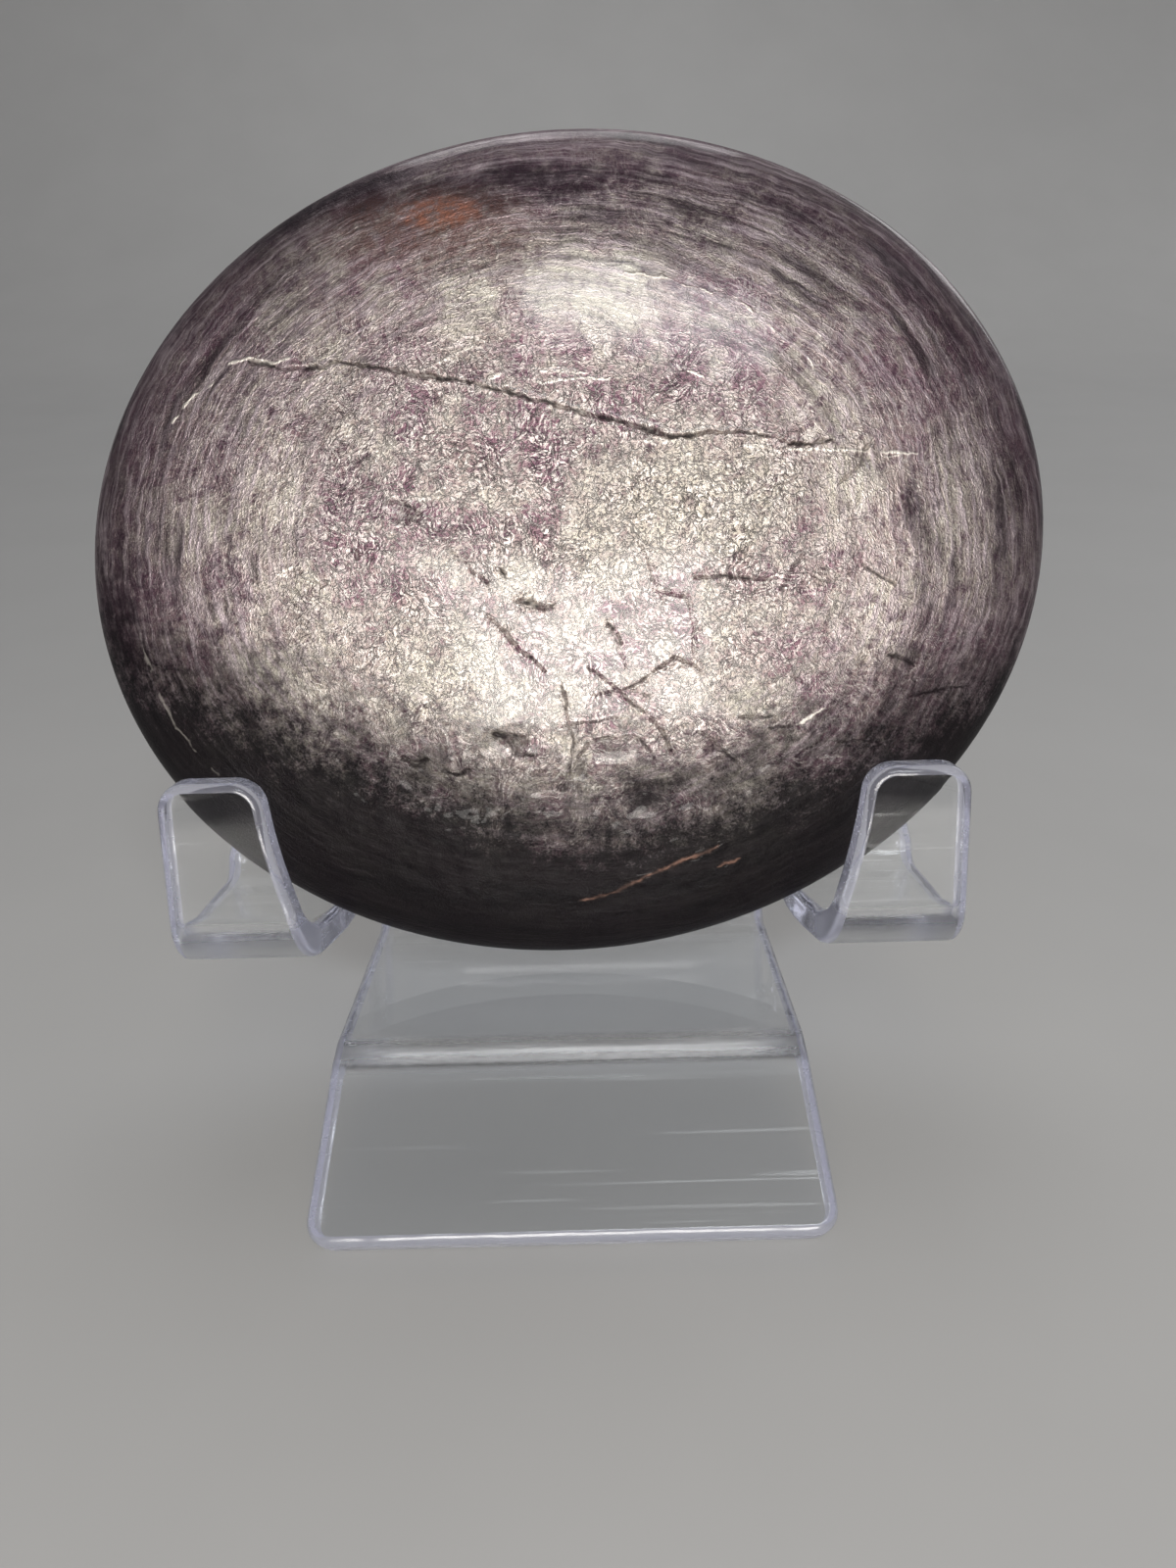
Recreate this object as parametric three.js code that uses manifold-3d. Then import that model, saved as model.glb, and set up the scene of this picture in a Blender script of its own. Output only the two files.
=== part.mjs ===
// A polished lepidolite freeform resting in a clear acrylic easel bent from one sheet.
// Millimetres, +Z up; the stone faces -Y. The origin is on the table, under the middle of the whole.
import * as THREE from 'three';
import { mergeVertices } from 'three/addons/utils/BufferGeometryUtils.js';
import Module from 'manifold-3d';

const wasm = await Module();
wasm.setup();

const radians = THREE.MathUtils.degToRad;

// ---- Driving dimensions --------------------------------------------------------------

// The acrylic sheet.
const SHEET = 4.5;              // thickness
const EASE = 1.2;               // chamfer along every cut edge
const LEAN = radians(12);       // the back panel leans this far from upright
const BEND = 4.6;               // radius of the sheet's middle layer in a bend
const FOOT_FLAT = 0.2;          // sheet filed off under each foot, so that it sits flat

// Places on the easel are given as (w, v): w runs back from the front face of the lips,
// square to the back panel, and v runs up along the panel from the underside of the shelves.
const LIP_BASE_Y = -20.93;      // where (0, 0) lies in the object's own frame
const LIP_BASE_Z = 17.6;
const LIP_HEIGHT = 25.1;        // top edge of the two lips
const SHELF_DEPTH = 32.7;       // front of the lips to the back of the panel
const TONGUE_TOP = -4.2;        // upper face of the tongue, below the stone
const CREST_W = -11.6;          // where the tongue folds down to the front foot
const FRONT_SLOPE = radians(36);  // front foot, measured from the table
const PANEL_TOP = 74;           // height of the fold at the top of the panel
const LEG_SLOPE = radians(17);  // rear leg, measured from upright

// Half widths, from the middle plane.
const LIP_OUTER = 50.3;
const PANEL_OUTER = 50.8;
const PANEL_TAPER = 0.22;       // lost on each side for every millimetre up the panel
const TAPER_START = 5.4;        // height where that taper sets in, softly
const SLOT_ROOT = 9;            // height where the slots beside the tongue end
const SLOT_INNER = 30.6;        // inner edge of a hook at the slot's root
const LIP_INNER = 37.4;         // inner edge of a hook at the lip's top
const FLARE_START = 0.3;        // share of the room's length before the hooks draw apart
const TONGUE_ROOT_HALF = 29.2;
const CREST_HALF = 28;
const FOOT_HALF = 29.8;
const LEG_HALF = 37;
const LIP_CORNER = 3.6;         // rounding of the lips' top corners
const FOOT_CORNER = 3.2;        // rounding of the feet's corners

// The stone.
const STONE_HALF_WIDTH = 62.2;
const STONE_HALF_HEIGHT = 52.9;
const STONE_SIDE = 1.2;         // its middle lies this far to the right of the easel's
const STONE_MIDDLE_V = 50;      // height of its middle along the panel
const STONE_RIM_W = 17.9;       // depth of its rim plane at the middle
const STONE_TILT = radians(7);  // it leans back this much more than the panel
const STONE_SKEW = 0.04;       // its outline leans this much to one side
const FRONT_DOME = 12.6;
const BACK_DOME = 9;
const DOME_POWER = 2.1;         // above 2 the faces are flatter and the rim rounder
const LUMPS = { height: 0.35, across: 17, up: 21 };     // long low waves over the faces
const DIMPLES = { height: 0.15, across: 7.3, up: 9.1 }; // shorter ones on them
const LEDGE_TOP = -25;          // the lower middle of the front steps back from this height
const LEDGE_DEPTH = 0.7;
const LEDGE_RISE = 5;           // height over which it does so
const LEDGE_HALF_WIDTH = 30;

// How finely the solids are drawn.
const RUN_STEP = 12;            // longest stretch of a straight run of sheet
const BEND_STEP = radians(15);
const CORNER_STEPS = 6;
const STONE_ROUND = 80;         // places around the stone's rim
const STONE_DEEP = 34;          // places from its front pole to its back pole

// ---- Placing and solids --------------------------------------------------------------

const easelToObject = new THREE.Matrix4()
  .makeTranslation(-STONE_SIDE, LIP_BASE_Y, LIP_BASE_Z)
  .multiply(new THREE.Matrix4().makeRotationX(-LEAN));

function solid(geometry) {
  const bare = geometry.index ? geometry.clone() : geometry;
  bare.deleteAttribute('normal');
  bare.deleteAttribute('uv');
  const merged = mergeVertices(bare, 1e-4);
  return new wasm.Manifold(new wasm.Mesh({
    numProp: 3,
    vertProperties: new Float32Array(merged.attributes.position.array),
    triVerts: new Uint32Array(merged.index.array),
  }));
}

function geometryOf(manifold) {
  const mesh = manifold.getMesh();
  const geometry = new THREE.BufferGeometry();
  geometry.setAttribute('position', new THREE.BufferAttribute(mesh.vertProperties, 3));
  geometry.setIndex(new THREE.BufferAttribute(mesh.triVerts, 1));
  return geometry;
}

// ---- Bent sheet ----------------------------------------------------------------------

// Stations along the middle layer of a bent sheet: straight runs between rounded corners.
function bentLine(corners) {
  const points = corners.map(([w, v]) => new THREE.Vector2(w, v));
  const stations = [];
  const add = (place, along) => {
    const last = stations.at(-1);
    const run = last ? last.run + last.place.distanceTo(place) : 0;
    stations.push({ place: place.clone(), along: along.clone().normalize(), run });
  };
  const straight = (from, to) => {
    const along = to.clone().sub(from);
    const steps = Math.max(1, Math.ceil(along.length() / RUN_STEP));
    for (let k = stations.length ? 1 : 0; k <= steps; k += 1) {
      add(from.clone().lerp(to, k / steps), along);
    }
  };
  let start = points[0];
  for (let i = 1; i < points.length - 1; i += 1) {
    const before = points[i].clone().sub(points[i - 1]).normalize();
    const after = points[i + 1].clone().sub(points[i]).normalize();
    const turn = Math.atan2(before.cross(after), before.dot(after));
    const setback = BEND * Math.tan(Math.abs(turn) / 2);
    const enter = points[i].clone().addScaledVector(before, -setback);
    straight(start, enter);
    const side = Math.sign(turn);
    const middle = enter.clone().add(new THREE.Vector2(-before.y, before.x).multiplyScalar(side * BEND));
    const steps = Math.ceil(Math.abs(turn) / BEND_STEP);
    for (let k = 1; k <= steps; k += 1) {
      const angle = turn * k / steps;
      add(enter.clone().rotateAround(middle, angle), before.clone().rotateAround(new THREE.Vector2(), angle));
    }
    start = points[i].clone().addScaledVector(after, setback);
  }
  straight(start, points.at(-1));
  return stations;
}

// Extra stations close to a free end, where its corners are rounded and its edge is eased.
function roundEnd(stations, radius) {
  const end = stations.at(-1);
  const kept = stations.filter((station) => end.run - station.run > radius + EASE / 4);
  for (let k = 0; k <= CORNER_STEPS; k += 1) {
    const back = radius * (1 - Math.sin(k / CORNER_STEPS * Math.PI / 2));
    const place = end.place.clone().addScaledVector(end.along, -back);
    const inset = radius - Math.sqrt(Math.max(0, radius ** 2 - (radius - back) ** 2));
    const thin = Math.max(0, EASE - back);
    kept.push({ place, along: end.along, run: end.run - back, inset, thin });
  }
  return kept;
}

// A strip of sheet along its stations. The section is an eased rectangle, drawn in codes:
// 1 is a face or an edge, and EASED is the same less the chamfer.
const EASED = 0.5;
function strip(stations, halfWidthAt) {
  const section = new THREE.Shape([
    [-EASED, -1], [EASED, -1], [1, -EASED], [1, EASED],
    [EASED, 1], [-EASED, 1], [-1, EASED], [-1, -EASED],
  ].map(([x, y]) => new THREE.Vector2(x, y)));
  const steps = stations.length - 1;
  const geometry = new THREE.ExtrudeGeometry(section, { depth: steps, steps, bevelEnabled: false });
  return bend(geometry, stations, (codeX, codeY, station) => {
    const half = halfWidthAt(station) - (station.inset ?? 0);
    const across = Math.sign(codeX) * (Math.abs(codeX) === 1 ? half : half - EASE);
    const face = SHEET / 2 - (station.thin ?? 0);
    const through = Math.sign(codeY) * (Math.abs(codeY) === 1 ? face : Math.max(face - EASE, SHEET / 8));
    return [across, through];
  });
}

// The room cut out between the two hooks: wider at both faces, so that it eases the edges too.
const ROOM_PAST_FACE = 1.5;
function room(stations, halfWidthAt) {
  const section = new THREE.Shape([
    [-1, -1], [1, -1], [EASED, -EASED], [EASED, EASED],
    [1, 1], [-1, 1], [-EASED, EASED], [-EASED, -EASED],
  ].map(([x, y]) => new THREE.Vector2(x, y)));
  const steps = stations.length - 1;
  const geometry = new THREE.ExtrudeGeometry(section, { depth: steps, steps, bevelEnabled: false });
  return bend(geometry, stations, (codeX, codeY, station) => {
    const half = halfWidthAt(station);
    const isWide = Math.abs(codeX) === 1;
    const across = Math.sign(codeX) * (isWide ? half + EASE + ROOM_PAST_FACE : half);
    const through = Math.sign(codeY) * (isWide ? SHEET / 2 + ROOM_PAST_FACE : SHEET / 2 - EASE);
    return [across, through];
  });
}

// Moves each step of an extrusion to its station, and each of its points across and through it.
function bend(geometry, stations, placeInSection) {
  const position = geometry.attributes.position;
  for (let i = 0; i < position.count; i += 1) {
    const station = stations[Math.round(position.getZ(i))];
    const [across, through] = placeInSection(position.getX(i), position.getY(i), station);
    const w = station.place.x + station.along.y * through;
    const v = station.place.y - station.along.x * through;
    position.setXYZ(i, across, w, v);
  }
  return solid(geometry);
}

// ---- The easel -----------------------------------------------------------------------

const panelMidW = SHELF_DEPTH - SHEET / 2;
const shelfMidV = SHEET / 2;
const tongueMidV = TONGUE_TOP - SHEET / 2;

// Half width of the panel and of the hooks' outer edges; it starts to taper above the shelves.
function outerHalf(station) {
  const { x: w, y: v } = station.place;
  if (w < SHELF_DEPTH - SHEET) {
    return THREE.MathUtils.lerp(LIP_OUTER, PANEL_OUTER, THREE.MathUtils.clamp(w / SHELF_DEPTH, 0, 1));
  }
  const rise = v - TAPER_START;
  const softRise = (rise + Math.hypot(rise, SHEET)) / 2 - SHEET / 2;
  return PANEL_OUTER - PANEL_TAPER * Math.max(0, softRise);
}

// A direction on the easel from an angle in the object's own frame, measured from the table.
function easelDirection(angle) {
  return new THREE.Vector2(Math.cos(angle + LEAN), Math.sin(angle + LEAN));
}

// The point where a run from a corner meets the table, for the sheet's middle layer.
function runToTable(from, direction, lift) {
  const heightOf = (place) => LIP_BASE_Z + place.y * Math.cos(LEAN) - place.x * Math.sin(LEAN);
  const fall = heightOf(from) - heightOf(from.clone().add(direction));
  return from.clone().addScaledVector(direction, (heightOf(from) - lift) / fall);
}

function easel() {
  const panelTop = new THREE.Vector2(panelMidW, PANEL_TOP);
  const legDirection = easelDirection(LEG_SLOPE - Math.PI / 2);
  const legLift = SHEET / 2 * Math.sin(LEG_SLOPE) - FOOT_FLAT;
  const legFoot = runToTable(panelTop, legDirection, legLift);
  const sheetLine = bentLine([
    legFoot.toArray(),
    panelTop.toArray(),
    [panelMidW, shelfMidV],
    [SHEET / 2, shelfMidV],
    [SHEET / 2, LIP_HEIGHT],
  ]);

  const legRun = legFoot.distanceTo(panelTop);
  const topHalf = outerHalf({ place: panelTop });
  const sheetHalf = (station) => {
    if (station.run > legRun) return outerHalf(station);
    return THREE.MathUtils.lerp(LEG_HALF, topHalf, station.run / legRun);
  };
  const lipsAndPanel = strip(roundEnd(sheetLine, LIP_CORNER), sheetHalf);

  // The room between the hooks widens from the slots' root to the lips' tops.
  const roomLine = bentLine([
    [panelMidW, SLOT_ROOT],
    [panelMidW, shelfMidV],
    [SHEET / 2, shelfMidV],
    [SHEET / 2, LIP_HEIGHT],
  ]);
  const rounded = roundEnd(roomLine, LIP_CORNER);
  const past = rounded.at(-1);
  rounded.push({ ...past, place: past.place.clone().addScaledVector(past.along, SHEET) });
  const roomLength = roomLine.at(-1).run;
  const roomHalf = (station) => {
    const flare = THREE.MathUtils.smoothstep(station.run / roomLength, FLARE_START, 1);
    return THREE.MathUtils.lerp(SLOT_INNER, LIP_INNER, flare) + (station.inset ?? 0);
  };
  const hooks = lipsAndPanel.subtract(room(rounded, roomHalf));

  // The tongue starts inside the panel, folds forward lower than the shelves, and folds down
  // again at its crest to the front foot.
  const crest = new THREE.Vector2(CREST_W, tongueMidV);
  const frontDirection = easelDirection(FRONT_SLOPE).negate();
  const frontLift = SHEET / 2 * Math.cos(FRONT_SLOPE) - EASE * Math.sin(FRONT_SLOPE) - FOOT_FLAT;
  const frontFoot = runToTable(crest, frontDirection, frontLift);
  const tongueLine = bentLine([
    [panelMidW, SLOT_ROOT + SHEET],
    [panelMidW, tongueMidV],
    crest.toArray(),
    frontFoot.toArray(),
  ]);
  const frontRun = crest.distanceTo(frontFoot);
  const tongueRun = tongueLine.at(-1).run;
  const tongueHalf = (station) => {
    const beforeCrest = tongueRun - frontRun;
    if (station.run < beforeCrest) {
      return THREE.MathUtils.lerp(TONGUE_ROOT_HALF, CREST_HALF, station.run / beforeCrest);
    }
    return THREE.MathUtils.lerp(CREST_HALF, FOOT_HALF, (station.run - beforeCrest) / frontRun);
  };
  const tongue = strip(roundEnd(tongueLine, FOOT_CORNER), tongueHalf);
  return hooks.add(tongue);
}

// Files everything below the table off, which leaves each foot a narrow flat.
function standFlat(manifold) {
  const size = 4 * PANEL_TOP;
  const below = new THREE.BoxGeometry(size, size, size).translate(0, 0, -size / 2);
  return manifold.subtract(solid(below));
}

// ---- The stone -----------------------------------------------------------------------

// The stone is drawn about its own middle: x across, y back through it and z up its height.
// This is how far its faces stand out past a true dome.
function swell(x, z) {
  const lump = LUMPS.height * Math.sin(x / LUMPS.across) * Math.cos(z / LUMPS.up);
  const dimple = DIMPLES.height * Math.sin(x / DIMPLES.across - z / DIMPLES.up);
  const below = THREE.MathUtils.smoothstep(LEDGE_TOP - z, 0, LEDGE_RISE);
  const ledge = LEDGE_DEPTH * below * Math.exp(-((x / LEDGE_HALF_WIDTH) ** 4));
  return lump + dimple - ledge;
}

// Depth of the front face at a place on it.
function frontFace(x, z) {
  const ring = Math.hypot((x - STONE_SKEW * z) / STONE_HALF_WIDTH, z / STONE_HALF_HEIGHT);
  const share = Math.sqrt(Math.max(0, 1 - ring ** DOME_POWER));
  return -(FRONT_DOME * share + swell(x, z) * Math.sqrt(share));
}

function stoneBody() {
  const geometry = new THREE.SphereGeometry(1, STONE_ROUND, STONE_DEEP);
  const position = geometry.attributes.position;
  for (let i = 0; i < position.count; i += 1) {
    const across = position.getX(i);
    const deep = position.getY(i);
    const up = position.getZ(i);
    const ring = Math.hypot(across, up);
    const reach = ring ** (2 / DOME_POWER) / Math.max(ring, 1e-9);
    const z = up * reach * STONE_HALF_HEIGHT;
    const x = across * reach * STONE_HALF_WIDTH + STONE_SKEW * z;
    const dome = deep < 0 ? FRONT_DOME : BACK_DOME;
    const y = deep * dome + Math.sign(deep) * swell(x, z) * Math.sqrt(Math.abs(deep));
    position.setXYZ(i, x, y, z);
  }
  return solid(geometry);
}

// Open cracks of the front face, as places (x, z) along each, with its half width.
const CRACKS = [
  { half: 0.6, route: [
    [-48, 17.5], [-41.6, 22.3], [-34, 23], [-22.9, 22.7], [-14, 21], [-3.5, 18], [5, 15.6],
    [13.2, 13.4], [23, 13.5], [32.6, 12.5],
  ] },
  { half: 0.5, route: [[37, 12.2], [35, 10.5], [33.4, 7.4]] },
  { half: 0.45, route: [[-10.5, -6.6], [-2.8, -14], [-0.3, -21], [0.3, -24.6]] },
  { half: 0.45, route: [[6.5, -16.6], [13, -12.9], [16.3, -14.2]] },
  { half: 0.4, route: [[15.6, -3.6], [20, -3.9], [25, -3.7]] },
  { half: 0.45, route: [[1, -44], [5.6, -43.3], [13.2, -39.6], [18.8, -37.3]] },
];

// Small hollows of the front face: place, and half sizes across, up and into the stone.
const HOLLOWS = [
  { at: [-19, 4.6], half: [2.6, 1, 1] },
  { at: [-3.6, -6.1], half: [2.1, 0.7, 0.8] },
  { at: [-7.6, -22.6], half: [1.9, 1.1, 0.9] },
  { at: [-19.3, -25.4], half: [1.4, 1, 0.8] },
  { at: [4.5, -26], half: [4.5, 1.6, 0.9] },
];

function crackCutter({ half, route }) {
  const places = route.map(([x, z]) => new THREE.Vector3(x, frontFace(x, z), z));
  const curve = new THREE.CatmullRomCurve3(places);
  const section = new THREE.Shape([
    new THREE.Vector2(-half, 0), new THREE.Vector2(0, -half),
    new THREE.Vector2(half, 0), new THREE.Vector2(0, half),
  ]);
  const steps = 3 * (route.length - 1);
  return solid(new THREE.ExtrudeGeometry(section, { steps, extrudePath: curve, bevelEnabled: false }));
}

function hollowCutter({ at: [x, z], half: [across, up, into] }) {
  const ball = new THREE.SphereGeometry(1, 12, 8).scale(across, into, up);
  return solid(ball.translate(x, frontFace(x, z), z));
}

function weatheredStone() {
  const cutters = [...CRACKS.map(crackCutter), ...HOLLOWS.map(hollowCutter)];
  return cutters.reduce((stone, cutter) => stone.subtract(cutter), stoneBody());
}

const stoneToEasel = new THREE.Matrix4()
  .makeTranslation(STONE_SIDE, STONE_RIM_W, STONE_MIDDLE_V)
  .multiply(new THREE.Matrix4().makeRotationX(-STONE_TILT));

// ---- The object ----------------------------------------------------------------------

const acrylic = new THREE.MeshStandardMaterial({ color: 0xdfe3ee, roughness: 0.05, metalness: 0 });
const lepidolite = new THREE.MeshStandardMaterial({ color: 0x75656f, roughness: 0.35, metalness: 0.15 });
acrylic.name = 'clear acrylic';
lepidolite.name = 'polished lepidolite';

function named(name, geometry, material) {
  const mesh = new THREE.Mesh(geometry, material);
  mesh.name = name;
  return mesh;
}

const stand = geometryOf(easel()).applyMatrix4(easelToObject);
const standOnTable = geometryOf(standFlat(solid(stand)));
const stone = geometryOf(weatheredStone()).applyMatrix4(easelToObject.clone().multiply(stoneToEasel));

const lepidoliteOnStand = new THREE.Group();
lepidoliteOnStand.add(named('acrylic_stand', standOnTable, acrylic));
lepidoliteOnStand.add(named('lepidolite_stone', stone, lepidolite));

export default lepidoliteOnStand;
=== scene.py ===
# %% [markdown]
# # A lepidolite freeform in its acrylic easel
#
# This lesson dresses a polished piece of lepidolite, a lilac mica rock, and the clear bent easel
# that it leans in. The fixed model of both pieces is loaded first. Everything made afterwards
# takes its place and size from that model, so nothing has to be fitted by eye.

# %% Load the fixed model
import math
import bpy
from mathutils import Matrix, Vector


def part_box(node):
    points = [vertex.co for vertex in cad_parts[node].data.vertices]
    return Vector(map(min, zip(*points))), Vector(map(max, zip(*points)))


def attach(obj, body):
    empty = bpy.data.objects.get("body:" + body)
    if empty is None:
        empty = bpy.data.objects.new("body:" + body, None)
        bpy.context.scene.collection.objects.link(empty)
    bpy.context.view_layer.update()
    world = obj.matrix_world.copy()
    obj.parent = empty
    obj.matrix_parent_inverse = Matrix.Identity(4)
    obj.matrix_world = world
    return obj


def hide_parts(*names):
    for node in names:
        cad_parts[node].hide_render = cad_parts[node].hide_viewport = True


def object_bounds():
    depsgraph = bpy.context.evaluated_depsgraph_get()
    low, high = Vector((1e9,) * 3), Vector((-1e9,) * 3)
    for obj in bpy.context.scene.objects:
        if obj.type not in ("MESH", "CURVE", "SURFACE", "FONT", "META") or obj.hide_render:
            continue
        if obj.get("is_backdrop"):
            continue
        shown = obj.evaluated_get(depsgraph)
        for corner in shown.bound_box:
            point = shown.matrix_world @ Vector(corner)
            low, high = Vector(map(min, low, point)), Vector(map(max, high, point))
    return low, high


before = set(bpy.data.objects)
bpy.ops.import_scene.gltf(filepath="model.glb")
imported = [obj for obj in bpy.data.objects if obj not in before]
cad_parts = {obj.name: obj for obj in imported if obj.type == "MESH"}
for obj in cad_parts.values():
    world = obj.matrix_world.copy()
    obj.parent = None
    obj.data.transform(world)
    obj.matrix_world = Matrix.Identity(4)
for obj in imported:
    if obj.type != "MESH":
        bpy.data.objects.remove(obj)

from types import SimpleNamespace

import bmesh
import bpy
import numpy as np
from mathutils import Matrix, Vector, noise

MM = 0.001
model_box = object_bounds()
stand_low, stand_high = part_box("acrylic_stand")
stone_low, stone_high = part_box("lepidolite_stone")
print("nodes:", sorted(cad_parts))
print("stand, mm:", [round(side / MM, 1) for side in stand_high - stand_low])
print("stone, mm:", [round(side / MM, 1) for side in stone_high - stone_low])

# %% [markdown]
# ## A few helpers
#
# Each finished piece is handed over in the same way: it gets its mesh and materials and the body
# that it rides on, and the model node that it stands for is hidden. One function does that, so
# that no piece is left half made. A second one gives the smooth rise that widths, depths and
# colours follow wherever they change from one value to another.

# %% Hand a piece over
def finish_piece(name, bm, materials, cad_node):
    mesh = bpy.data.meshes.new(name)
    bm.to_mesh(mesh)
    bm.free()
    for material in materials:
        mesh.materials.append(material)
    piece = bpy.data.objects.new(name, mesh)
    bpy.context.scene.collection.objects.link(piece)
    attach(piece, "root")
    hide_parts(cad_node)
    print(name, "has", len(mesh.polygons), "faces before its modifiers")
    return piece


def ease(low, high, value):
    """0 below low, 1 above high, and a smooth rise between them. low may be above high."""
    share = np.clip((value - low) / (high - low), 0, 1)
    return share * share * (3 - 2 * share)


print("a quarter of the way, a smooth rise is at", ease(0, 1, 0.25))

# %% [markdown]
# ## The easel's measures
#
# The easel is one strip of clear acrylic, cut flat, slit beside its tongue and bent hot over a
# straight edge. It is drawn in a frame of its own that leans with the back panel: y runs back
# from the front of the lips and z runs up along the panel, from the underside of the shelves.
# At the end the whole strip is leaned back and set down on its two feet.

# %% Sizes of the easel
SHEET = 4.5 * MM
EDGE_ROUND = 1.1 * MM
LEAN = math.radians(12)
BEND = 4.6 * MM
LIP_HEIGHT = 25.1 * MM
SHELF_DEPTH = 32.7 * MM
TONGUE_TOP = -4.2 * MM
CREST_Y = -11.6 * MM
FRONT_SLOPE = math.radians(36)
PANEL_TOP = 74 * MM
LEG_SLOPE = math.radians(17)

LIP_OUTER = 50.3 * MM
PANEL_OUTER = 50.8 * MM
PANEL_TAPER = 0.22
TAPER_START = 5.4 * MM
SLOT_ROOT = 9 * MM
SLOT_INNER = 30.6 * MM
LIP_INNER = 37.4 * MM
FLARE_START = 0.3
TONGUE_ROOT_HALF = 29.2 * MM
CREST_HALF = 28 * MM
FOOT_HALF = 29.8 * MM
LEG_HALF = 37 * MM
LIP_CORNER = 3.6 * MM
FOOT_CORNER = 3.2 * MM

BEND_STEP = math.radians(5)
RUN_STEP = 4.2 * MM

FOOT_TO_LIPS = 30.9 * MM
SHELF_ABOVE_TABLE = 17.6 * MM
easel_middle = (stand_low.x + stand_high.x) / 2
lip_base = Vector((easel_middle, stand_low.y + FOOT_TO_LIPS, SHELF_ABOVE_TABLE))
panel_mid = SHELF_DEPTH - SHEET / 2
shelf_mid = SHEET / 2
tongue_mid = TONGUE_TOP - SHEET / 2
print("easel's lips start at y =", round(lip_base.y / MM, 2), "mm")

# %% [markdown]
# ## Bending the strip
#
# The sheet is drawn as its middle layer, with no thickness yet. A row of edges across the sheet
# is walked along its path. A straight run extrudes the row and moves it on. A fold spins the row
# about the axis of the bend, a few degrees at a time, as the hot sheet goes round the former.
# After each step the row is stretched to the sheet's width at that place, which draws the taper
# of the panel and the flare of the hooks without a single outline to trace.

# %% Walk a row of edges along runs and folds
def row_of(geometry):
    return [edge for edge in geometry if isinstance(edge, bmesh.types.BMEdge)]


def verts_across(edges):
    return sorted({vert for edge in edges for vert in edge.verts}, key=lambda vert: vert.co.x)


def walk(bm, row, heading, moves, across):
    """Takes row along moves, each ("run", length) or ("fold", angle), and returns its last edges.
    heading is an angle from +Y towards +Z, and across(run) gives where a row's points lie."""
    travelled = 0.0
    for kind, amount in moves:
        length = abs(amount) * BEND if kind == "fold" else amount
        steps = max(1, math.ceil(abs(amount) / (BEND_STEP if kind == "fold" else RUN_STEP)))
        if kind == "fold":
            side = math.copysign(1, amount)
            at = verts_across(row)[0].co
            turned = heading + side * math.pi / 2
            centre = Vector((0, at.y + BEND * math.cos(turned), at.z + BEND * math.sin(turned)))
        for _ in range(steps):
            if kind == "fold":
                spun = bmesh.ops.spin(
                    bm, geom=row, cent=centre, axis=(side, 0, 0), dvec=(0, 0, 0),
                    angle=abs(amount) / steps, steps=1, use_merge=False, use_duplicate=False)
                row = row_of(spun["geom_last"])
                heading += amount / steps
            else:
                row = row_of(bmesh.ops.extrude_edge_only(bm, edges=row)["geom"])
                forward = Vector((0, math.cos(heading), math.sin(heading)))
                bmesh.ops.translate(bm, verts=verts_across(row), vec=forward * length / steps)
            travelled += length / steps
            for vert, x in zip(verts_across(row), across(travelled)):
                vert.co.x = x
    return row


def setback(angle):
    """How far before a corner its bend begins."""
    return BEND * math.tan(abs(angle) / 2)


def blend_between(start, end, share):
    return start + (end - start) * min(1.0, max(0.0, share))


print("a square fold begins", round(setback(math.pi / 2) / MM, 2), "mm before its corner")

# %% [markdown]
# The widths come from the places where the real sheet was cut. Above the shelves the panel
# narrows steadily, and the taper sets in softly because the cutter rounded that corner.

# %% Width of the panel
def panel_half(height):
    rise = height - TAPER_START
    soft_rise = (rise + math.hypot(rise, SHEET)) / 2 - SHEET / 2
    return PANEL_OUTER - PANEL_TAPER * max(0.0, soft_rise)


bm = bmesh.new()
root_xs = [-panel_half(SLOT_ROOT), -SLOT_INNER, -TONGUE_ROOT_HALF]
root_xs += [-x for x in reversed(root_xs)]
root_verts = [bm.verts.new((x, panel_mid, SLOT_ROOT)) for x in root_xs]
root_row = [bm.edges.new(pair) for pair in zip(root_verts, root_verts[1:])]
print("the row at the slots' root has", len(root_row), "edges")

# %% [markdown]
# ### Panel, top fold and rear leg
#
# From the slots' root the row goes up the panel, over the top fold and down the rear leg. The
# leg stops where its rounded edge meets the table. Its corner would lie a little below the
# table if it were left square, by the amount that the rounding takes away.

# %% Run the panel and the rear leg
def height_above_table(y, z):
    return lip_base.z + z * math.cos(LEAN) - y * math.sin(LEAN)


def run_to_table(y, z, heading, slope):
    """Length from (y, z) to where a leg that is slope from the table stands on its edge."""
    square_corner = -EDGE_ROUND * (math.cos(slope) + math.sin(slope) - 1)
    end_height = square_corner + SHEET / 2 * math.cos(slope)
    fall = height_above_table(0, 0) - height_above_table(math.cos(heading), math.sin(heading))
    return (height_above_table(y, z) - end_height) / fall


leg_heading = LEG_SLOPE - math.pi / 2 + LEAN
top_turn = leg_heading - math.pi / 2
leg_length = run_to_table(panel_mid, PANEL_TOP, leg_heading, math.pi / 2 - LEG_SLOPE)
panel_run = PANEL_TOP - SLOT_ROOT - setback(top_turn)
fold_run = abs(top_turn) * BEND
leg_run = leg_length - setback(top_turn)


def panel_across(run):
    top_half = panel_half(PANEL_TOP)
    share = (run - panel_run - fold_run / 2) / (fold_run / 2 + leg_run)
    half = blend_between(top_half, LEG_HALF, share)
    if run < panel_run:
        half = panel_half(SLOT_ROOT + run)
    return [x / root_xs[-1] * half for x in root_xs]


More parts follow.
